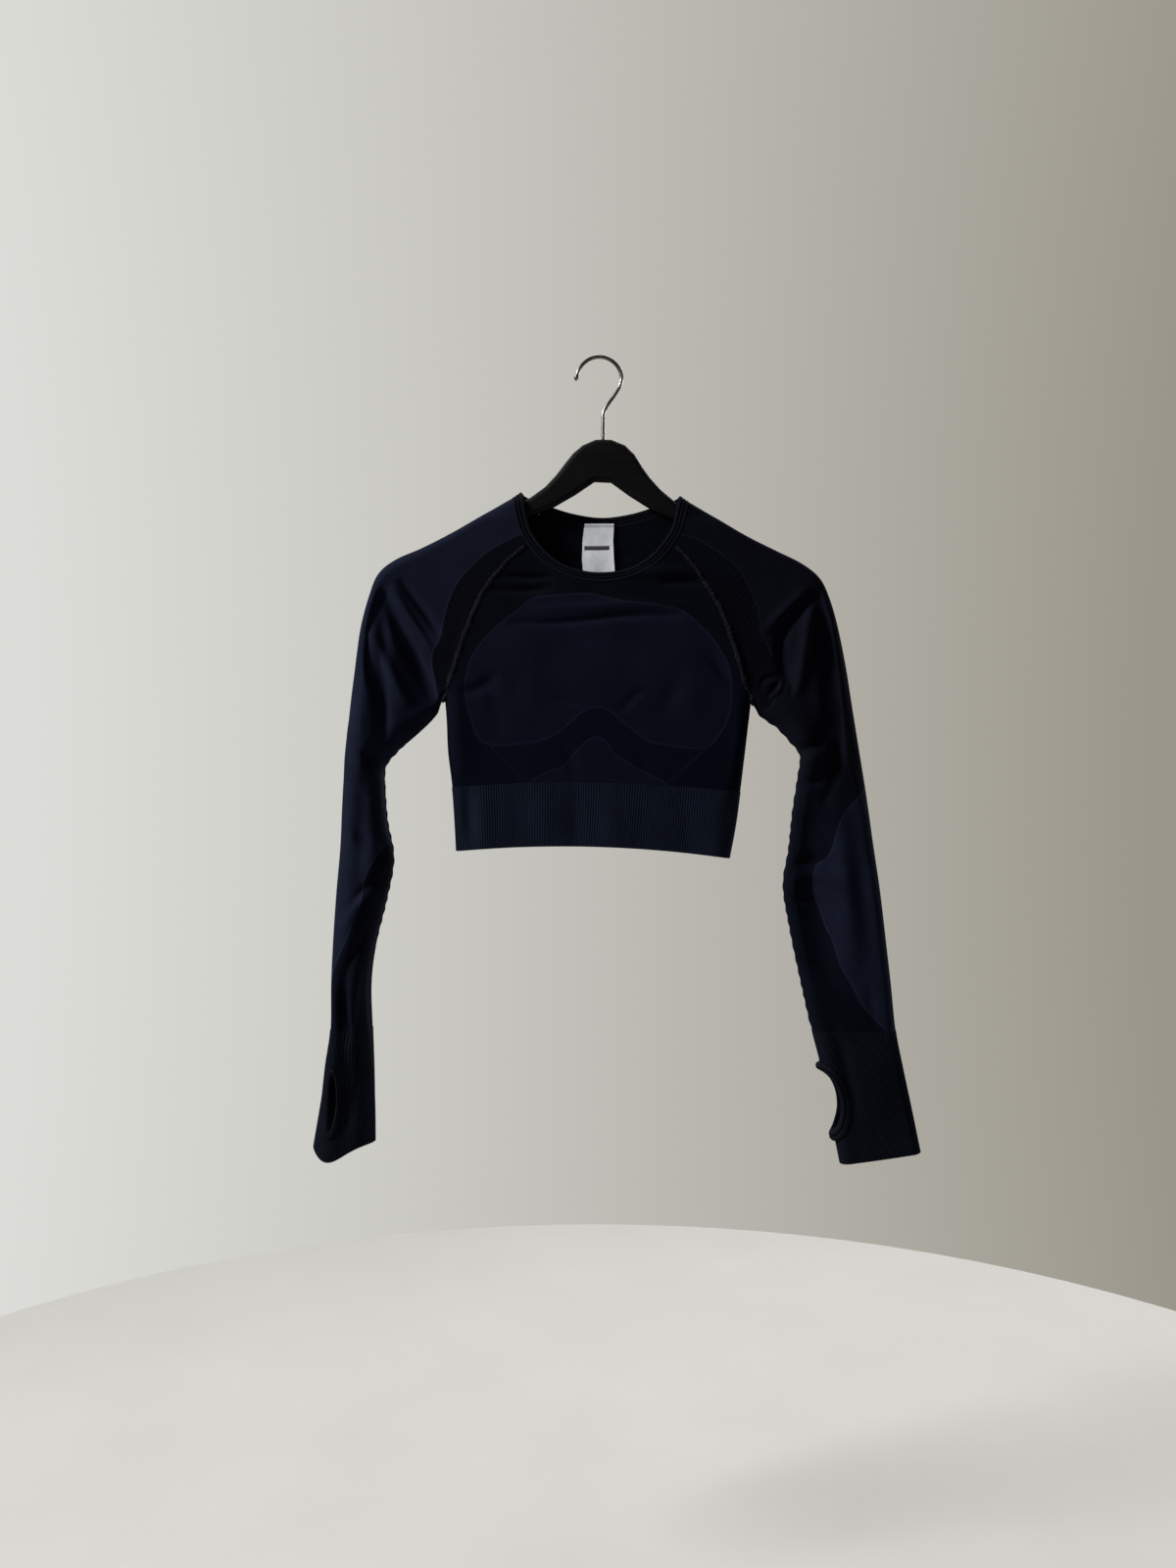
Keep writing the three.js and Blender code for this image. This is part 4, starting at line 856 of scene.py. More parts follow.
def even_ring(level, count):
    """Evenly spaced points round the body at a level."""
    t = np.linspace(0, 1, 500)
    ring = np.concatenate([body_point(level, spread(t), -1)[:-1], body_point(level, spread(t[::-1]), 1)])
    run = path_length(ring)
    want = np.arange(count) / count * run[-1]
    return np.stack([np.interp(want, run, ring[:, k]) for k in range(3)], -1), run[-1]


def rib_profile(columns, ribs):
    """Height of evenly spaced rounded ribs, from 0 in the grooves to 1 on top."""
    phase = np.arange(columns) * ribs / columns
    return 0.5 + 0.5 * np.sin(2 * np.pi * phase)


def make_hem():
    """The ribbed band: even rings round the body's lowest rows, raised by the ribs' profile."""
    columns = HEM_RIBS * HEM_FINE
    shares = np.arange(HEM_LEVELS) / (HEM_LEVELS - 1)
    rings = [even_ring(share * HEM_LEVEL, columns) for share in shares]
    girth = rings[-1][1]
    surface = np.stack([ring for ring, _ in rings])
    surface[-1, :, 2] -= SEAM
    quads = grid(HEM_LEVELS, columns, closed=True)
    high = np.tile(rib_profile(columns, HEM_RIBS), HEM_LEVELS)
    along = np.tile(np.arange(columns) / columns * girth, HEM_LEVELS)
    uv = np.stack([along, np.repeat(shares, columns) * HEM_LENGTH], -1)
    points = creased(surface.reshape(-1, 3), quads)
    return shell("knit_hem_band", points, quads, KNIT, uv, {"rib": high}, raised=RIB_HEIGHT * high)


def make_sleeve(which):
    """A tube of rings down the sleeve's table, joined to the raglan seam by a fan of straight rows.

    The fan starts beside the seam, away from it in the direction of the first ring. A few passes in
    which each ring moves a quarter of the way to its neighbours' mean soften the step where it ends.
    """
    columns = SLEEVE_COLUMNS_FINE
    turn = np.arange(columns) / columns
    stations = np.concatenate([[0.0], np.linspace(0, CUFF_STATION, SLEEVE_ROWS_FINE)[1:]])
    rings = [sleeve_point(which, at, gathered(at, turn)) for at in stations]
    first = first_ring(which, turn)
    seam = unit(np.roll(first, -1, axis=0) - np.roll(first, 1, axis=0))
    away = rings[0] - first
    away = unit(away - seam * (away * seam).sum(1)[:, None])
    from_foot = np.linalg.norm(first - first[0], axis=1)
    gap = SEAM + UNDERARM_SEAM * (1 - clamp(from_foot / UNDERARM_REACH))
    start = first + away * gap[:, None]
    fan = [lerp(start, rings[0], k / FAN_ROWS) for k in range(FAN_ROWS)]
    surface = np.stack(fan + rings)
    end = FAN_ROWS + SOFT_ROWS
    for _ in range(SOFT_PASSES):
        inner = surface[1:end].copy()
        inner += 0.25 * (surface[: end - 1] - 2 * inner + surface[2 : end + 1])
        surface[1:end] = inner
    levels = surface.shape[0]
    quads = grid(levels, columns, closed=True)
    if which == "right":
        quads = quads[:, ::-1]
    points = surface.reshape(-1, 3)
    x, z = points[:, 0], points[:, 2]
    run = path_length(surface).mean(1)
    uv = np.stack([np.tile(turn * SLEEVE_TURN, levels), np.repeat(run, columns)], -1)
    values = {
        "panel": distance_inside(SLEEVE_PANEL[which], x, z),
        "forearm": distance_inside(FOREARM[which], x, z),
        "height": z,
    }
    return shell("knit_sleeve_" + which, creased(points, quads), quads, KNIT, uv, values)


def cuff_girth(which):
    """The way round a cuff at its middle."""
    ring = sleeve_point(which, (CUFF_STATION + CUFF_END) / 2, np.linspace(0, 1, 61))
    return path_length(ring)[-1]


def cuff_point(which, level, turn):
    """A cuff at a share of its height. Its end hangs lower by CUFF_DROP towards the outer edge."""
    at = lerp(CUFF_STATION, CUFF_END, level)
    points = sleeve_point(which, at, turn)
    inner, outer = between(SLEEVES[which], "ix", at), between(SLEEVES[which], "ox", at)
    share = clamp((points[..., 0] - inner) / (outer - inner))
    points[..., 2] -= CUFF_DROP[which] * level**2 * np.sin(np.pi * share**2) - CUFF_RISE[which] * level
    return points


CUFF_ROWS = (24, 29, 15)   # rows before, beside and after a thumb hole
HOLE_COLUMNS = 18          # columns to each side of a thumb hole's middle that are left out
HOLE_CALM = 6              # half widths of a hole over which the columns beside it are drawn aside
HOLE_EASE = 0.2            # share of the hole's length over which they return past its ends
HOLE_NARROW = 0.35         # half width left at the ends of the hole (CAD 2.2)
RIB_RISE_ASIDE = 0.03      # share of the girth over which the ribs rise again beside the hole
RIB_RISE_PAST = 0.08       # share of the hole's length over which they rise past its ends


def make_cuff(which):
    """A ribbed tube with a thumb hole: the columns beside the hole are drawn aside round it.

    The hole is an ellipse. Inside HOLE_COLUMNS the offset of a column from the hole's middle is
    scaled to the hole's width there, and the columns beside it share the rest of the way evenly.
    """
    columns, half = CUFF_RIBS * CUFF_FINE, HOLE_COLUMNS
    girth = cuff_girth(which)
    column = int(round(THUMB[which] * CUFF_RIBS)) * CUFF_FINE
    rows_before, rows_within, rows_after = CUFF_ROWS
    before = np.linspace(0, HOLE_START, rows_before)
    within = lerp(HOLE_START, HOLE_END, 0.5 - 0.5 * np.cos(np.linspace(0, np.pi, rows_within)))
    after = np.linspace(HOLE_END, 1, rows_after)
    levels = np.concatenate([before, within[1:-1], after])
    offset = ((np.arange(columns) - column + 1.5 * columns) % columns) / columns - 0.5
    size, side, calm = np.abs(offset), half / columns, HOLE_CALM * half / columns
    rows = []
    for level in levels:
        t = (level - HOLE_START) / (HOLE_END - HOLE_START)
        wide = side
        if -HOLE_EASE < t < 1 + HOLE_EASE:
            lens = HOLE_HALF_WIDTH[which] * math.sqrt(max(0.0, 1 - (2 * t - 1) ** 2)) / girth
            ease = clamp(min(t + HOLE_EASE, 1 + HOLE_EASE - t) / HOLE_EASE)
            wide = lerp(side, max(lens, HOLE_NARROW / girth), ease)
        inside = size * wide / side
        beside = wide + (size - side) * (calm - wide) / (calm - side)
        moved = np.where(size <= side, inside, np.where(size < calm, beside, size))
        rows.append(cuff_point(which, level, column / columns + np.sign(offset) * moved))
    surface = np.stack(rows)
    points = surface.reshape(-1, 3)
    quads = grid(len(levels), columns, closed=True)
    r, c = np.divmod(np.arange(len(quads)), columns)
    first, last = len(before) - 1, len(before) + len(within) - 3
    cell = (c - column + columns / 2 + columns) % columns - columns / 2 + 0.5
    hole = (np.abs(cell) < half) & (r >= first) & (r <= last)
    quads = quads[~hole]
    used, packed = np.unique(quads, return_inverse=True)
    quads = packed.reshape(-1, 4)
    if which == "right":
        quads = quads[:, ::-1]
    high = np.tile(rib_profile(columns, CUFF_RIBS), len(levels))
    level_of = np.repeat(levels, columns)
    t = (level_of - HOLE_START) / (HOLE_END - HOLE_START)
    # The ribs flatten under the binding, beside the hole and past its ends.
    aside = clamp((np.tile(size, len(levels)) - side) / RIB_RISE_ASIDE)
    past = clamp(np.maximum(-t, t - 1) / RIB_RISE_PAST)
    raised = (RIB_HEIGHT * high * clamp(aside + past))[used]
    along = np.tile(np.arange(columns) / columns * girth, len(levels))
    uv = np.stack([along, level_of * CUFF_LENGTH], -1)[used]
    points = creased(points[used], quads)
    return shell("knit_cuff_" + which, points, quads, KNIT, uv, {"rib": high[used]}, raised=raised)


BINDING_WIDTH = {"left": 5.5, "right": 9.0}  # (CAD 6.5 on both)
BINDING_STRIP = (120, 12)                    # points round the hole and rows across the strip
BINDING_THICKNESS = 0.7                      # (CAD 1.2)
BINDING_LIFT = 0.45                          # from the top of the ribs to the strip's middle
BINDING_LAP = 0.4                            # how far a strip reaches over the hole's edge
STITCH_GROOVE = 0.09                         # half width of a line of stitching, as a share of its strip
EAR_HEIGHT = {"left": 0.0, "right": 3.6}     # how far its turned ends stand out at the cuff's edge


def make_binding(which):
    """A folded strip round a thumb hole, with a rounded section that grips the hole's edge."""
    girth = cuff_girth(which)
    middle = (HOLE_START + HOLE_END) / 2
    columns = SLEEVES[which]
    length = columns["oz"][CUFF_STATION] - columns["oz"][CUFF_END]
    half = (HOLE_END - HOLE_START) / 2 * length
    around, across = BINDING_STRIP
    angle = np.arange(around) / around * 2 * np.pi
    rows = []
    for k in range(across + 1):
        more = BINDING_WIDTH[which] * k / across - BINDING_LAP
        g = (HOLE_HALF_WIDTH[which] + more) * np.cos(angle)
        h = (half + more) * np.sin(angle)
        rows.append(cuff_point(which, middle + h / length, THUMB[which] + g / girth))
    surface = np.stack(rows)
    quads = grid(across + 1, around, closed=True)
    if which == "left":
        quads = quads[:, ::-1]
    share = np.repeat(np.arange(across + 1) / across, around)
    groove = np.exp(-(((share - 0.5) / STITCH_GROOVE) ** 2))
    ears = EAR_HEIGHT[which] * np.exp(-((np.cos(np.tile(angle, across + 1)) / 0.32) ** 2))
    crown = (1.0 + ears) * np.sin(np.pi * share) ** 0.5 - 0.7 * groove
    uv = np.stack([np.tile(angle / (2 * np.pi) * 160, across + 1), share * 6.6], -1)
    points = creased(surface.reshape(-1, 3), quads)
    return shell("binding_thumb_" + which, points, quads, BINDING_THICKNESS, uv, {"groove": groove},
                 lift=KNIT / 2 + RIB_HEIGHT + BINDING_LIFT, raised=crown)


NECK_SHARES = (0.36, 0.11, 0.06, 0.30, 0.06, 0.11)   # of the loop, for each of its six parts
NECK_STRIP = (420, 22)     # points round the neck and rows across the strip
NECK_CROWN = 0.75          # how far the strip bulges between its lines of stitching
NECK_STITCHING = (0.3, 0.62)
NECK_LAP = 0.9             # how far the strip laps over the edge of the knit


def neck_loop(key, t):
    """The whole neck line, 0 to 1 from the left raglan seam along the front and round to it again."""
    parts = [
        (NECK["front"][key], False), (NECK["right"]["front"][key], False),
        (NECK["right"]["back"][key], False), (NECK["back"][key], True),
        (NECK["left"]["back"][key], True), (NECK["left"]["front"][key], True),
    ]
    starts = np.concatenate([[0], np.cumsum(NECK_SHARES)])
    out = np.zeros(np.shape(t) + (3,))
    for k, (line, turned) in enumerate(parts):
        here = (t >= starts[k]) & ((t < starts[k + 1]) | (k == 5))
        u = clamp((t - starts[k]) / NECK_SHARES[k])
        out = np.where(here[..., None], line.at(1 - u if turned else u), out)
    return out


def make_neckband():
    """A folded strip that stands on the neck seam, with two lines of stitching sunk in it."""
    around, across = NECK_STRIP
    t = np.arange(around) / around
    seam, edge = neck_loop("seam", t), neck_loop("edge", t)
    start = seam - unit(edge - seam) * NECK_LAP
    surface = np.stack([lerp(start, edge, k / across) for k in range(across + 1)])
    share = np.repeat(np.arange(across + 1) / across, around)
    crown = NECK_CROWN * np.sin(np.pi * clamp(share * 0.9 + 0.05)) ** 0.4
    groove = np.zeros_like(share)
    for at in NECK_STITCHING:
        groove = np.maximum(groove, np.exp(-(((share - at) / STITCH_GROOVE) ** 2)))
    crown = crown - NECK_CROWN * groove
    uv = np.stack([np.tile(path_length(seam), across + 1), share * 9.5], -1)
    quads = grid(across + 1, around, closed=True)
    points = creased(surface.reshape(-1, 3), quads)
    return shell("binding_neck", points, quads, 1.0, uv, {"groove": groove}, raised=crown)


LABEL_CELLS = (24, 40)     # across and down
LABEL_TOP = -173.5
LABEL_LENGTH = 52.5
LABEL_MAP = (32, 46)       # size of the label's map


def make_label():
    """A folded satin ribbon, stitched along its top edge and a little curved."""
    wide, tall = LABEL_CELLS
    u, v = np.meshgrid(np.linspace(0, 1, wide + 1), np.linspace(0, 1, tall + 1))
    left = np.interp(v, [0, 0.35, 0.7, 1], [-16.6, -18.8, -19.3, -18.3])
    right = np.interp(v, [0, 0.35, 0.7, 1], [14.6, 13.6, 14.4, 15.4])
    x = lerp(left, right, u)
    z = LABEL_TOP - LABEL_LENGTH * v - 0.6 * np.sin(np.pi * u) * v + 1.2 * (u - 0.5) * v
    y = 7.6 - 0.45 * v - 0.7 * np.sin(2 * np.pi * (u * 0.8 + 0.1)) * v - 0.5 * np.sin(np.pi * v) * (u - 0.5)
    points = np.stack([x, y, z], -1).reshape(-1, 3)
    quads = grid(tall + 1, wide + 1)[:, ::-1]
    uv = np.stack([u * LABEL_MAP[0], v * LABEL_MAP[1]], -1).reshape(-1, 2)
    return shell("satin_label", points, quads, 0.5, uv)


def ripple(run, *waves):
    """The sum of sine waves along a run, each given as its height, length and shift."""
    return sum(height * np.sin(run / length + shift) for height, length, shift in waves)


SEAM_STRIP = (560, 7)      # rows and columns of a raglan seam's band
SERGED_STRIP = (700, 7)
THREAD_THICKNESS = 0.5
SEAM_END = 0.985           # share of a raglan seam where its band ends, under the neck strip
SEAM_HALF = 1.8            # half width of the band
SERGED_TURN = {"left": -0.035, "right": -0.004}


def make_seam(which, part):
    """A flatlock seam: a raised thread band that waves a little over the join of body and sleeve.

    It faces out of the body, and down where the seam turns round the underarm.
    """
    rows, columns = SEAM_STRIP
    path = RAGLAN[which][part].at(np.linspace(0.0, SEAM_END, rows))
    run = path_length(path)
    ways = np.tile([0.0, -1.0 if part == "front" else 1.0, 0.0], (rows, 1))
    ways[:, 2] = -1.0 * clamp(1 - run / 25)
    along = unit(np.gradient(path, axis=0))
    across = unit(np.stack([-along[:, 2], 0 * along[:, 0], along[:, 0]], -1))
    out = np.cross(along, across)
    out *= np.where((out * ways).sum(1) < 0, -1.0, 1.0)[:, None]
    wave = ripple(run, (0.4, 1.15, 0), (0.45, 3.7, 1), (0.5, 9.1, 0))
    half = SEAM_HALF + ripple(run, (0.3, 1.9, 0), (0.2, 4.3, 2))
    half += 0.5 * np.sin(np.pi * run / run[-1]) ** 2
    half *= clamp(0.25 + (run[-1] - run) / 3)
    share = np.linspace(-1, 1, columns)
    surface = path[:, None] + across[:, None] * (wave[:, None] * 0.5 + half[:, None] * share)[..., None]
    lumps = 1 + ripple(run, (0.3, 0.8, 0)) + 0.25 * np.sin(run / 2.3 + 1.4 * np.sin(run / 7))
    crown = 0.6 * np.sqrt(1 - (0.96 * share) ** 2)[None, :] * lumps[:, None]
    surface = surface + out[:, None] * (KNIT / 2 + 0.1)
    points = surface.reshape(-1, 3)
    quads = facing(points, grid(rows, columns), np.repeat(out, columns, axis=0))
    points = creased(points, quads)
    uv = np.stack([np.tile(share * 2, rows), np.repeat(run, columns)], -1)
    return shell(f"seam_raglan_{which}_{part}", points, quads, THREAD_THICKNESS, uv, raised=crown.reshape(-1))


def make_serged_seam(which):
    """The seam along the inner edge of a sleeve: a narrow thread band whose edge waves in and out.

    It stands out from the middle of the sleeve, square to its own run.
    """
    rows, columns = SERGED_STRIP
    at = np.linspace(0.9, CUFF_STATION - 0.1, rows)
    path = sleeve_point(which, at, SERGED_TURN[which])
    middle = lerp(sleeve_point(which, at, 0.25), sleeve_point(which, at, 0.75), 0.5)
    run = path_length(path)
    along = unit(np.gradient(path, axis=0))
    out = path - middle
    out = unit(out - along * (out * along).sum(1)[:, None])
    across = np.cross(along, out)
    scallop = 0.5 + 0.5 * np.sin(run / 2.1 + 0.8 * np.sin(run / 13))
    half = 1.1 + 0.35 * scallop
    share = np.linspace(-1, 1, columns)
    rise = KNIT / 2 + 0.15 + 0.8 * scallop
    bow = (1 - share**2)[None, :]
    surface = path[:, None] + across[:, None] * (half[:, None] * share)[..., None]
    surface = surface + out[:, None] * (rise[:, None] * bow)[..., None]
    points = surface.reshape(-1, 3)
    quads = facing(points, grid(rows, columns), np.repeat(out, columns, axis=0))
    uv = np.stack([np.tile(share * 2, rows), np.repeat(run, columns)], -1)
    return shell("seam_serged_" + which, points, quads, THREAD_THICKNESS, uv)


KNOT_SIZE = {"left": (7, 2.6), "right": (8, 3.4)}   # half its length and half its width
KNOT_DEPTH = 2.3
KNOT_FORWARD = 2.2


def make_knot(which):
    """The thickened end of the seams at the armpit, where the threads pucker the knit.

    A spindle that leans outward, its radius a power of a half sine times two lumpy waves.
    """
    foot = RAGLAN[which]["front"].at(0.06)
    rows, columns = 26, 20
    long, wide = KNOT_SIZE[which]
    v, u = np.meshgrid(np.linspace(0.02, 0.98, rows), np.arange(columns) / columns, indexing="ij")
    lump = 1 + 0.16 * np.sin(9 * v + 6.3 * 2 * u) + 0.12 * np.sin(17 * v - 6.3 * 3 * u)
    r = np.sin(np.pi * v) ** 0.6 * lump
    lean = unit(np.array([-0.35 if which == "left" else 0.35, 0, -1.0]))
    aside, deep = np.cross(lean, [0, 1, 0]), np.array([0.0, 1.0, 0.0])
    a = 2 * np.pi * u
    points = (foot - deep * KNOT_FORWARD + lean * ((v - 0.35) * 2 * long)[..., None]
              + aside * (r * wide * np.cos(a))[..., None]
              + deep * (r * KNOT_DEPTH * np.sin(a))[..., None])
    return closed_mesh("seam_knot_" + which, points, [points[0].mean(0), points[-1].mean(0)])


# Rings of a wire's round end: how far each lies past the end, and its radius, as shares of the wire's.
ROUND_END = ((0.97, 0.24), (0.85, 0.53), (0.6, 0.8), (0.3, 0.954))


def tube(name, path, radius, around=24):
    """A closed round wire along a line, with rounded ends and a radius for each point of the line."""
    along = unit(np.gradient(path, axis=0))
    past, narrow = np.array(ROUND_END).T
    before = path[0] - along[0] * radius[0] * past[:, None]
    after = path[-1] + along[-1] * radius[-1] * past[::-1, None]
    centres = np.vstack([before, path, after])
    radii = np.concatenate([radius[0] * narrow, radius, radius[-1] * narrow[::-1]])
    ways = np.vstack([np.tile(along[0], (len(past), 1)), along, np.tile(along[-1], (len(past), 1))])
    a = unit(np.cross([0.0, 1.0, 0.0], ways))
    b = np.cross(ways, a)
    angle = np.arange(around) / around * 2 * np.pi
    ring = np.cos(angle)[:, None] * a[:, None] + np.sin(angle)[:, None] * b[:, None]
    rows = centres[:, None] + radii[:, None, None] * ring
    return closed_mesh(name, rows, [path[0] - along[0] * radius[0], path[-1] + along[-1] * radius[-1]])


HOOK_CENTRE = (-1.1, -21.6)
HOOK_RADIUS = 23.7
BALL_RINGS = 14
TIP_RADIUS = 0.6           # of the ball's last rings, before the wire closes
HOOK_SHANK = [(20.4, -29.5), (13.9, -40.2), (7.3, -49.4), (3.7, -57), (3.1, -66), (3.1, -85.7)]


def hook_path():
    """The wire's middle line: an arc round the pin from the tip over the top, then the shank."""
    turn = np.radians(np.linspace(168, -2, 15))
    arc = [(HOOK_CENTRE[0] + HOOK_RADIUS * math.cos(a), 0, HOOK_CENTRE[1] + HOOK_RADIUS * math.sin(a))
           for a in turn]
    return Line(arc + [(x, 0, z) for x, z in HOOK_SHANK], 12).at(np.linspace(0, 1, 150))


def make_hook():
    """The bent wire, with the small ball that closes its tip drawn out of the same form."""
    path = hook_path()
    back = unit(path[0] - path[1])
    middle = path[0] + back * (BALL_RADIUS + 0.1)
    share = np.linspace(1, 0, BALL_RINGS)[:, None]
    lead = path[0] + back * share * (2 * BALL_RADIUS - 0.5)
    reach = np.linalg.norm(lead - middle, axis=1)
    ball = np.sqrt(np.maximum(BALL_RADIUS**2 - np.minimum(reach, BALL_RADIUS) ** 2, 0))
    radius = np.concatenate([np.maximum(ball, TIP_RADIUS), np.full(len(path) - 1, WIRE_RADIUS)])
    radius[BALL_RINGS - 1] = WIRE_RADIUS
    radius[BALL_RINGS - 2] = max(radius[BALL_RINGS - 2], WIRE_RADIUS)
    return tube("wire_hook", np.vstack([lead, path[1:]]), radius)


# Materials

class Nodes:
    """A node tree to which nodes are added by short calls. Each value is a socket or a constant."""

    def __init__(self, tree):
        self.tree = tree

    def add(self, kind, values=None, **settings):
        """A new node with its settings and the values of its inputs."""
        node = self.tree.nodes.new(kind)
        for key, value in settings.items():
            setattr(node, key, value)
        for key, value in (values or {}).items():
            self.put(node.inputs[key], value)
        return node

    def put(self, socket, value):
        """Links a socket to the input, or sets the input to a constant."""
        if isinstance(value, bpy.types.NodeSocket):
            self.tree.links.new(value, socket)
        elif socket.type == "VECTOR" and not isinstance(value, float):
            socket.default_value = value[:3]
        else:
            socket.default_value = value

    def math(self, operation, a, b=0.0, c=0.0):
        """One arithmetic operation on up to three values."""
        return self.add("ShaderNodeMath", {0: a, 1: b, 2: c}, operation=operation).outputs[0]

    def times(self, a, b):
        """The product of two values."""
        return self.math("MULTIPLY", a, b)

    def scaled(self, value, factor, more):
        """A value times a factor, and more added to it."""
        return self.math("MULTIPLY_ADD", value, factor, more)

    def ramp(self, value, low, high, kind="SMOOTHSTEP"):
        """0 at low and 1 at high, with a rise between them."""
        values = {0: value, 1: low, 2: high}
        return self.add("ShaderNodeMapRange", values, interpolation_type=kind).outputs[0]

    def blend(self, share, a, b):
        """A number between a and b."""
        return self.add("ShaderNodeMix", {0: share, 2: a, 3: b}).outputs[0]

    def mix(self, share, a, b):
        """A colour between a and b."""
        return self.add("ShaderNodeMix", data_type="RGBA", values={0: share, 6: a, 7: b}).outputs[2]


class Graph(Nodes):
    """The nodes of a new material."""

    def __init__(self, name, roughness=0.85, sheen=0.0, specular=0.3, **more):
        self.material = bpy.data.materials.new(name)
        self.material.use_nodes = True
        super().__init__(self.material.node_tree)
        self.surface = self.tree.nodes["Principled BSDF"]
        settings = {"Roughness": roughness, "Sheen Weight": sheen, "Specular IOR Level": specular}
        for key, value in (settings | more).items():
            self.surface.inputs[key].default_value = value

    def value(self, name):
        """A named point value of the mesh."""
        return self.add("ShaderNodeAttribute", attribute_name=name).outputs["Fac"]

    def uv(self):
        """The two coordinates of the knit map, in millimetres: across the cloth and along it."""
        node = self.add("ShaderNodeUVMap", uv_map="knit")
        split = self.add("ShaderNodeSeparateXYZ", {0: node.outputs[0]})
        return split.outputs[0], split.outputs[1]

    def inside(self, name, soft=1.5):
        """0 outside an outline and 1 inside it, from its signed distance."""
        return self.ramp(self.value(name), -soft, soft)

    def near(self, value, width):
        """1 on a line and 0 further from it than its width."""
        return self.ramp(self.math("ABSOLUTE", value), width, 0.0)

    def wave(self, value, pitch, shift=0.0):
        """A sine wave between 0 and 1."""
        turned = self.scaled(value, 2 * math.pi / pitch, shift)
        return self.scaled(self.math("SINE", turned), 0.5, 0.5)

    def noise(self, scale, detail=3.0, stretch=None):
        """Noise in the object's own space, which a stretch makes finer along an axis."""
        vector = self.add("ShaderNodeTexCoord").outputs["Object"]
        if stretch:
            vector = self.add("ShaderNodeMapping", {0: vector, "Scale": stretch}).outputs[0]
        values = {"Vector": vector, "Scale": scale, "Detail": detail}
        return self.add("ShaderNodeTexNoise", values).outputs[0]

    def shade(self, colour, by):
        """A colour made lighter or darker by a factor."""
        node = self.add("ShaderNodeVectorMath", {0: colour, 3: by}, operation="SCALE")
        return node.outputs[0]

    def finish(self, colour, height=None, strength=0.4, distance=0.00012):
        """The material, with its colour and the height of its fine relief."""
        self.put(self.surface.inputs["Base Color"], colour)
        if height is not None:
            values = {"Height": height, "Strength": strength, "Distance": distance}
            bump = self.add("ShaderNodeBump", values)
            self.put(self.surface.inputs["Normal"], bump.outputs[0])
        return self.material


def rgb(r, g, b):
    """An opaque colour from its linear parts."""
    return (r, g, b, 1.0)


YOKE = rgb(0.0032, 0.0038, 0.0066)
CHEST_NAVY = rgb(0.0050, 0.0068, 0.0142)
PURPLE_NAVY = rgb(0.0062, 0.0058, 0.0138)
BAND_NAVY = rgb(0.0030, 0.0043, 0.0098)
ARCH_NAVY = rgb(0.0047, 0.0065, 0.0136)
SLEEVE_NAVY = rgb(0.0064, 0.0088, 0.0172)
# Painted shade: the greyer, darker navy towards which the plain upper arm is mixed.
SHADED_ARM_NAVY = rgb(0.0064, 0.0068, 0.0114)
MESH_NAVY = rgb(0.0040, 0.0044, 0.0082)
HEM_NAVY = rgb(0.0098, 0.0134, 0.0246)
# Painted shade: the cuffs are the same rib knit as the hem, given a darker, greyer navy.
SHADED_CUFF_NAVY = rgb(0.0066, 0.0080, 0.0136)
BINDING_NAVY = rgb(0.0070, 0.0077, 0.0122)
THREAD_DARK, THREAD_LIGHT = rgb(0.0050, 0.0052, 0.0085), rgb(0.0150, 0.0150, 0.0225)
# The third satin colour is painted shade for the line of the label's fold.
SATIN, SATIN_STITCH, SATIN_FOLD_SHADE = rgb(0.84, 0.85, 0.88), rgb(0.07, 0.075, 0.11), rgb(0.16, 0.16, 0.16)
BAR_INK = rgb(0.010, 0.009, 0.009)
HANGER_BLACK, STEEL = rgb(0.0021, 0.0022, 0.0024), rgb(0.19, 0.18, 0.17)
FLOOR_PALE = rgb(0.49, 0.48, 0.45)
CLOTH_SHEEN = 0.003
SIDE_TOP, SIDE_BOTTOM = -300.0, -370.0     # height where the dark yoke passes into the navy sides
MESH_TOP, MESH_FULL = -195.0, -245.0       # height where the plain knit passes into the mesh
ELBOW_LOW, ELBOW_HIGH = -490.0, -420.0     # height where the arm outside the forearm zone passes from a painted greyer shade above to a darker tone below


BAR_ALONG, BAR_ACROSS = (22.7, 1.9), (15.0, 13.0)   # middle and half size of the label's bar


def cloth(name, **more):
    """A dull knit with a faint bluish sheen."""
    graph = Graph(name, roughness=0.9, sheen=CLOTH_SHEEN, specular=0.02, **more)
    graph.surface.inputs["Sheen Roughness"].default_value = 0.45
    graph.surface.inputs["Sheen Tint"].default_value = (0.62, 0.68, 0.85, 1.0)
    return graph


def unevenness(g):
    """Slow and fine changes of shade that dyed knit has, around 1."""
    slow = g.scaled(g.noise(28.0, 3.0), 0.5, 0.75)
    fine = g.scaled(g.noise(900.0, 2.0), 0.6, 0.7)
    return g.times(slow, fine)


def jersey(g, u, v):
    """Heights of fine knitted stitches: wales side by side, each a row of small loops."""
    wales = g.wave(u, 1.3)
    loops = g.wave(v, 1.0, 1.0)
    return g.times(wales, g.scaled(loops, 0.4, 0.6))


def dashes(g, u, v, wide=3.3, tall=2.3):
    """Short raised dashes in staggered rows, as in a tuck-stitch mesh."""
    rows = g.wave(v, tall)
    stagger = g.scaled(v, math.pi / tall, 0.0)
    turned = g.scaled(u, 2 * math.pi / wide, stagger)
    across = g.scaled(g.math("SINE", turned), 0.5, 0.5)
    return g.times(rows, across)


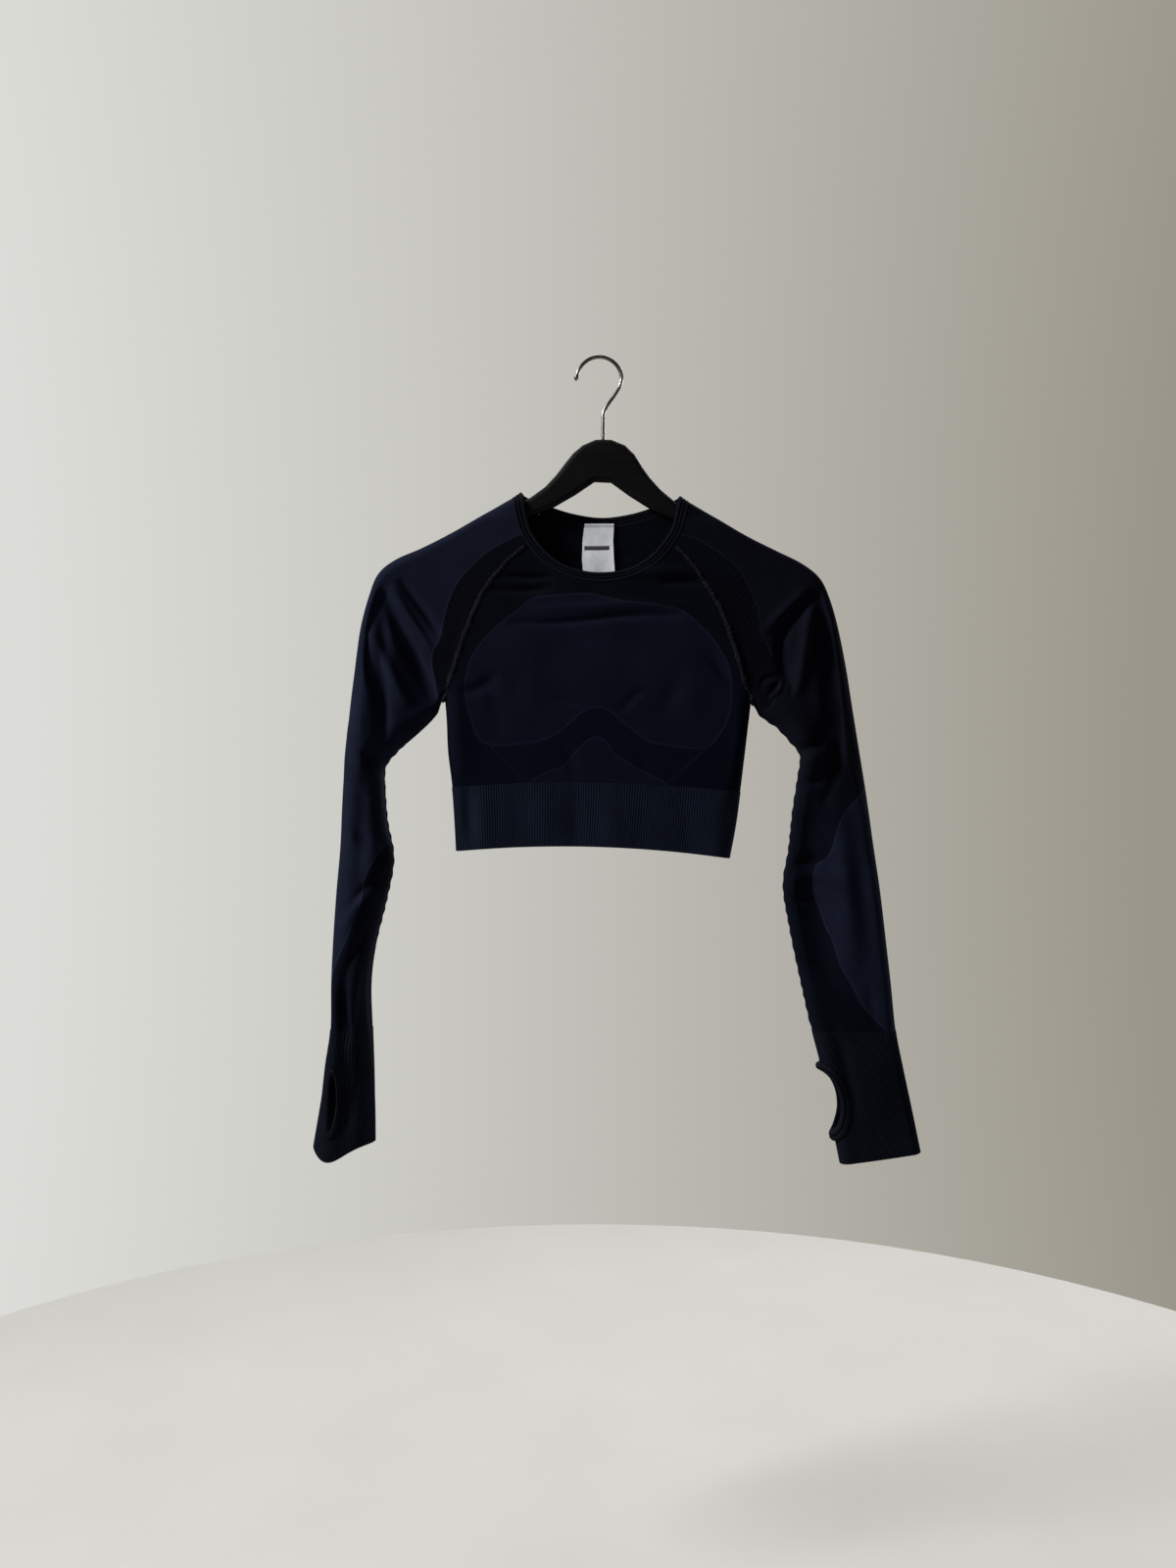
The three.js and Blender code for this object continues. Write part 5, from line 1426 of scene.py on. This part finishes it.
def body_material():
    """The body's knit: chest, band and arch in navy, mesh dashes in the yoke and the sides."""
    g = cloth("navy_knit")
    u, v = g.uv()
    chest, arch, band = g.inside("chest"), g.inside("arch"), g.inside("band", 1.0)
    mesh = dashes(g, u, v)
    plain = jersey(g, u, v)
    smooth = g.math("MAXIMUM", chest, arch)
    lower = g.ramp(v, SIDE_TOP, SIDE_BOTTOM)
    ground = g.mix(lower, YOKE, BAND_NAVY)
    colour = g.mix(g.times(mesh, 0.8), g.shade(ground, 0.8), g.shade(ground, 1.35))
    patches = g.times(g.noise(11.0, 3.0), 0.7)
    dyed = g.mix(patches, CHEST_NAVY, PURPLE_NAVY)
    colour = g.mix(chest, colour, g.shade(dyed, g.scaled(plain, 0.25, 0.85)))
    colour = g.mix(band, colour, BAND_NAVY)
    colour = g.mix(arch, colour, ARCH_NAVY)
    edge = g.near(g.value("chest"), 1.9)
    edge = g.math("MAXIMUM", edge, g.near(g.value("arch"), 1.4))
    edge = g.math("MAXIMUM", edge, g.near(g.value("line"), 1.6))
    colour = g.shade(colour, g.scaled(edge, 1.0, 1.0))
    ring = g.times(g.near(g.value("halo"), 9.0), 0.6)
    colour = g.mix(ring, colour, g.shade(PURPLE_NAVY, 1.1))
    colour = g.shade(colour, unevenness(g))
    height = g.blend(smooth, mesh, g.times(plain, 0.5))
    height = g.scaled(edge, 0.9, height)
    return g.finish(colour, height)


def sleeve_material():
    """The sleeves' knit: the mesh panel, the plain upper arm and the forearm zone. The forearm zone is
    lighter and the rest of the arm darker, partly as the knit's own zones and partly as painted light and
    shade; the plain upper arm is also greyed as painted shade.
    """
    g = cloth("navy_sleeve_knit")
    u, v = g.uv()
    panel, forearm = g.inside("panel"), g.inside("forearm")
    holes = dashes(g, u, v, 2.8, 2.6)
    plain = jersey(g, u, v)
    dyed = g.mix(g.times(g.noise(9.0, 3.0), 0.6), SLEEVE_NAVY, g.shade(PURPLE_NAVY, 1.1))
    colour = g.shade(dyed, g.scaled(plain, 0.25, 0.85))
    upper = g.ramp(g.value("height"), ELBOW_LOW, ELBOW_HIGH, "LINEAR")
    # Painted shade: the plain upper arm, outside the forearm zone, is mixed towards a greyer, darker navy.
    shaded_plain_arm = g.times(upper, g.math("SUBTRACT", 1.0, forearm))
    colour = g.mix(g.times(shaded_plain_arm, 0.75), colour, SHADED_ARM_NAVY)
    # Partly the knit's zones and partly painted light and shade: the forearm zone is made lighter and the
    # rest of the arm darker, most below the elbow.
    painted_arm_shade = g.scaled(upper, 0.12, 0.54)
    zone = g.blend(forearm, painted_arm_shade, 1.28)
    colour = g.shade(colour, zone)
    low = g.ramp(g.value("height"), MESH_TOP, MESH_FULL, "LINEAR")
    open_work = g.mix(holes, g.shade(MESH_NAVY, 0.3), g.shade(MESH_NAVY, 1.9))
    colour = g.mix(panel, colour, g.mix(low, YOKE, open_work))
    edge = g.math("MAXIMUM", g.near(g.value("panel"), 1.9), g.near(g.value("forearm"), 1.7))
    colour = g.shade(colour, g.scaled(edge, 0.9, 1.0))
    colour = g.shade(colour, unevenness(g))
    height = g.blend(panel, g.times(plain, 0.5), holes)
    height = g.scaled(edge, 0.5, height)
    return g.finish(colour, height)


def rib_material(name, rib):
    """Ribbed knit, with painted shade in the grooves between the ribs and lighter rib tops."""
    g = cloth(name)
    _, v = g.uv()
    high = g.value("rib")
    patches = g.noise(26.0, 2.0, stretch=(2.6, 2.6, 0.35))
    loops = g.wave(v, 1.1)
    # Painted shade: the grooves between the ribs darker, the tops of the ribs lighter.
    colour = g.mix(high, g.shade(rib, 0.45), g.shade(rib, 1.2))
    colour = g.shade(colour, g.scaled(patches, 0.35, 0.82))
    colour = g.shade(colour, unevenness(g))
    return g.finish(colour, g.times(loops, high), 0.4, 0.0001)


def binding_material():
    """The bindings' strip, with painted shade along its sunk lines of stitching."""
    g = cloth("navy_binding")
    u, _ = g.uv()
    stitches = g.wave(u, 1.7)
    colour = g.shade(BINDING_NAVY, g.scaled(stitches, 0.4, 0.8))
    # Painted shade: nearly black along the sunk lines of stitching.
    colour = g.shade(colour, g.scaled(g.value("groove"), -0.95, 1.05))
    return g.finish(g.shade(colour, unevenness(g)), stitches, 0.5, 0.0002)


def thread_material():
    """Twisted grey thread of the seams, with uneven light and dark places."""
    g = cloth("grey_thread")
    u, v = g.uv()
    twist = g.wave(g.math("ADD", v, g.times(u, 0.5)), 1.2)
    breaks = g.noise(160.0, 2.0)
    colour = g.mix(twist, THREAD_DARK, THREAD_LIGHT)
    colour = g.shade(colour, g.scaled(breaks, 1.6, 0.2))
    return g.finish(colour, twist, 0.6, 0.0003)


def satin_material():
    """White satin with one plain dark bar, a row of stitches and a soft line of painted shade where it folds.
    """
    g = Graph("white_satin", roughness=0.38, sheen=0.1, specular=0.5)
    u, v = g.uv()
    weave = g.wave(u, 0.5)
    colour = g.shade(SATIN, g.scaled(g.noise(90.0, 3.0), 0.6, 0.7))
    stitch = g.scaled(g.wave(u, 2.4), 0.4, 0.3)
    stitch = g.times(g.near(g.math("SUBTRACT", v, 2.4), 1.6), stitch)
    colour = g.mix(stitch, colour, SATIN_STITCH)
    bar = g.times(g.math("COMPARE", v, *BAR_ALONG), g.math("COMPARE", u, *BAR_ACROSS))
    colour = g.mix(g.times(bar, 0.95), colour, BAR_INK)
    # Painted shade: a soft grey line across the label where it folds.
    fold = g.near(g.math("SUBTRACT", v, 20.4), 0.5)
    colour = g.mix(g.times(fold, 0.5), colour, SATIN_FOLD_SHADE)
    return g.finish(colour, weave, 0.15, 0.0002)


def hanger_material():
    """Matt black, with fine grain, scuffs and faint specks."""
    g = Graph("matt_black_hanger", roughness=0.5, specular=0.12)
    grain = g.noise(700.0, 4.0)
    scuffs = g.noise(45.0, 5.0, stretch=(0.4, 1.0, 2.0))
    specks = g.scaled(g.noise(650.0, 2.0), 5.0, -1.6)
    colour = g.shade(HANGER_BLACK, g.times(g.scaled(scuffs, 1.0, 0.5), specks))
    g.put(g.surface.inputs["Roughness"], g.scaled(scuffs, 0.25, 0.42))
    return g.finish(colour, grain, 0.35, 0.0003)


def wire_material():
    """Drawn steel wire."""
    g = Graph("steel_wire", roughness=0.3, specular=0.5, Metallic=1.0)
    drawn = g.noise(300.0, 4.0, stretch=(1.0, 1.0, 0.15))
    g.put(g.surface.inputs["Roughness"], g.scaled(drawn, 0.2, 0.2))
    return g.finish(g.shade(STEEL, g.scaled(drawn, 0.3, 0.85)), drawn, 0.1, 0.0002)


# Camera, floor and light

CAMERA_PLACE = (-0.0131, -1.45, -0.4508)
CAMERA_LENS = 31.4
FLOOR_RADIUS, FLOOR_HEIGHT = 1.25, -1.32
SEEN_LEFT, SEEN_RIGHT = rgb(0.72, 0.72, 0.69), rgb(0.325, 0.305, 0.258)     # surround for the eye
GLOW_LEFT, GLOW_RIGHT = rgb(0.115, 0.125, 0.150), rgb(0.040, 0.036, 0.032)  # surround as a light
CHEST_HIGH = (0, 0, -0.45)
LAMPS = (                  # name, place, aim, size and power
    ("key", (-2.25, -0.80, 1.22), CHEST_HIGH, 0.8, 118),
    ("fill", (1.2, -1.6, 0.2), CHEST_HIGH, 1.6, 1.5),
    ("above", (0.0, 1.0, 0.6), (0, 0.9, -1.3), 1.6, 16),
    ("rear", (0.9, 1.9, 0.3), CHEST_HIGH, 1.4, 14),
    ("side", (2.2, 0.7, 0.1), CHEST_HIGH, 1.0, 30),
)


def make_camera():
    """The photograph's view: level, in front of the middle of the top."""
    data = bpy.data.cameras.new("camera")
    data.sensor_fit = "VERTICAL"
    data.sensor_height = 36
    data.lens = CAMERA_LENS
    data.clip_start = 0.05
    camera = add_object("camera", data)
    camera.location = CAMERA_PLACE
    camera.rotation_euler = (math.radians(90), 0, 0)
    bpy.context.scene.camera = camera


def make_floor():
    """A pale round floor under the part."""
    turn = np.arange(96) / 96 * 2 * np.pi
    ring = np.stack([FLOOR_RADIUS * np.cos(turn), FLOOR_RADIUS * np.sin(turn), 0 * turn + FLOOR_HEIGHT], -1)
    data = bpy.data.meshes.new("floor")
    data.from_pydata(ring.tolist(), [], [tuple(range(len(ring)))])
    floor = add_object("floor", data)
    g = Graph("pale_floor", roughness=0.8, specular=0.2)
    colour = g.shade(FLOOR_PALE, g.scaled(g.noise(5.0, 4.0), 0.1, 0.95))
    data.materials.append(g.finish(colour))


def make_light():
    """A pale surround for the eye, dimmer as a light, with a large soft lamp at the upper left.

    The surround dims to the right, for the eye only in the part of it that lies straight ahead.
    """
    world = bpy.data.worlds.new("pale")
    bpy.context.scene.world = world
    world.use_nodes = True
    g = Nodes(world.node_tree)
    way = g.add("ShaderNodeSeparateXYZ", {0: g.add("ShaderNodeTexCoord").outputs["Generated"]})
    right, ahead = way.outputs[0], g.ramp(way.outputs[1], 0.6, 0.8, "LINEAR")
    seen = g.mix(g.times(g.ramp(right, -0.38, 0.38, "LINEAR"), ahead), SEEN_LEFT, SEEN_RIGHT)
    glow = g.mix(g.ramp(right, -0.9, 0.9, "LINEAR"), GLOW_LEFT, GLOW_RIGHT)
    eye = g.add("ShaderNodeLightPath").outputs["Is Camera Ray"]
    g.put(g.tree.nodes["Background"].inputs[0], g.mix(eye, glow, seen))
    for name, place, aim, size, power in LAMPS:
        data = bpy.data.lights.new(name, "AREA")
        data.shape = "DISK"
        data.size = size
        data.energy = power
        lamp = add_object(name, data)
        lamp.location = place
        lamp.rotation_euler = (Vector(aim) - Vector(place)).to_track_quat("-Z", "Y").to_euler()
    bpy.context.scene.view_settings.view_transform = "Standard"


make_camera()
make_floor()
make_light()

body = make_body()
hem = make_hem()
sleeves = {which: make_sleeve(which) for which in ("left", "right")}
cuffs = {which: make_cuff(which) for which in ("left", "right")}
bindings = {which: make_binding(which) for which in ("left", "right")}
neckband = make_neckband()
label = make_label()
seams = [make_seam(which, part) for which in ("left", "right") for part in ("front", "back")]
seams += [make_serged_seam(which) for which in ("left", "right")]
knots = [make_knot(which) for which in ("left", "right")]
hook = make_hook()

navy_knit, navy_sleeve = body_material(), sleeve_material()
navy_binding, thread = binding_material(), thread_material()
# The cuffs' rib material is the hem's with a darker, greyer navy, as painted shade.
hem_rib, cuff_rib = rib_material("navy_hem_rib", HEM_NAVY), rib_material("shaded_navy_cuff_rib", SHADED_CUFF_NAVY)


def dress(piece, material, slot, *nodes):
    """Gives a piece its material and hides the CAD nodes that it replaces; the slot is not used."""
    piece.data.materials.clear()
    piece.data.materials.append(material)
    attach(piece, "root")
    if nodes:
        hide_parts(*nodes)


dress(body, navy_knit, "knit_body", "body")
dress(hem, hem_rib, "knit_rib", "hem_band")
dress(neckband, navy_binding, "binding", "neckband")
dress(label, satin_material(), "satin", "label")
dress(hook, wire_material(), "steel_wire", "hook", "hook_ball")
for which in ("left", "right"):
    dress(sleeves[which], navy_sleeve, "knit_sleeve", "sleeve_" + which)
    dress(cuffs[which], cuff_rib, "knit_rib", "cuff_" + which)
    dress(bindings[which], navy_binding, "binding", "thumb_binding_" + which)
for piece in seams + knots:
    dress(piece, thread, "binding")
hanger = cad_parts["hanger"]
hanger.data.materials.clear()
hanger.data.materials.append(hanger_material())
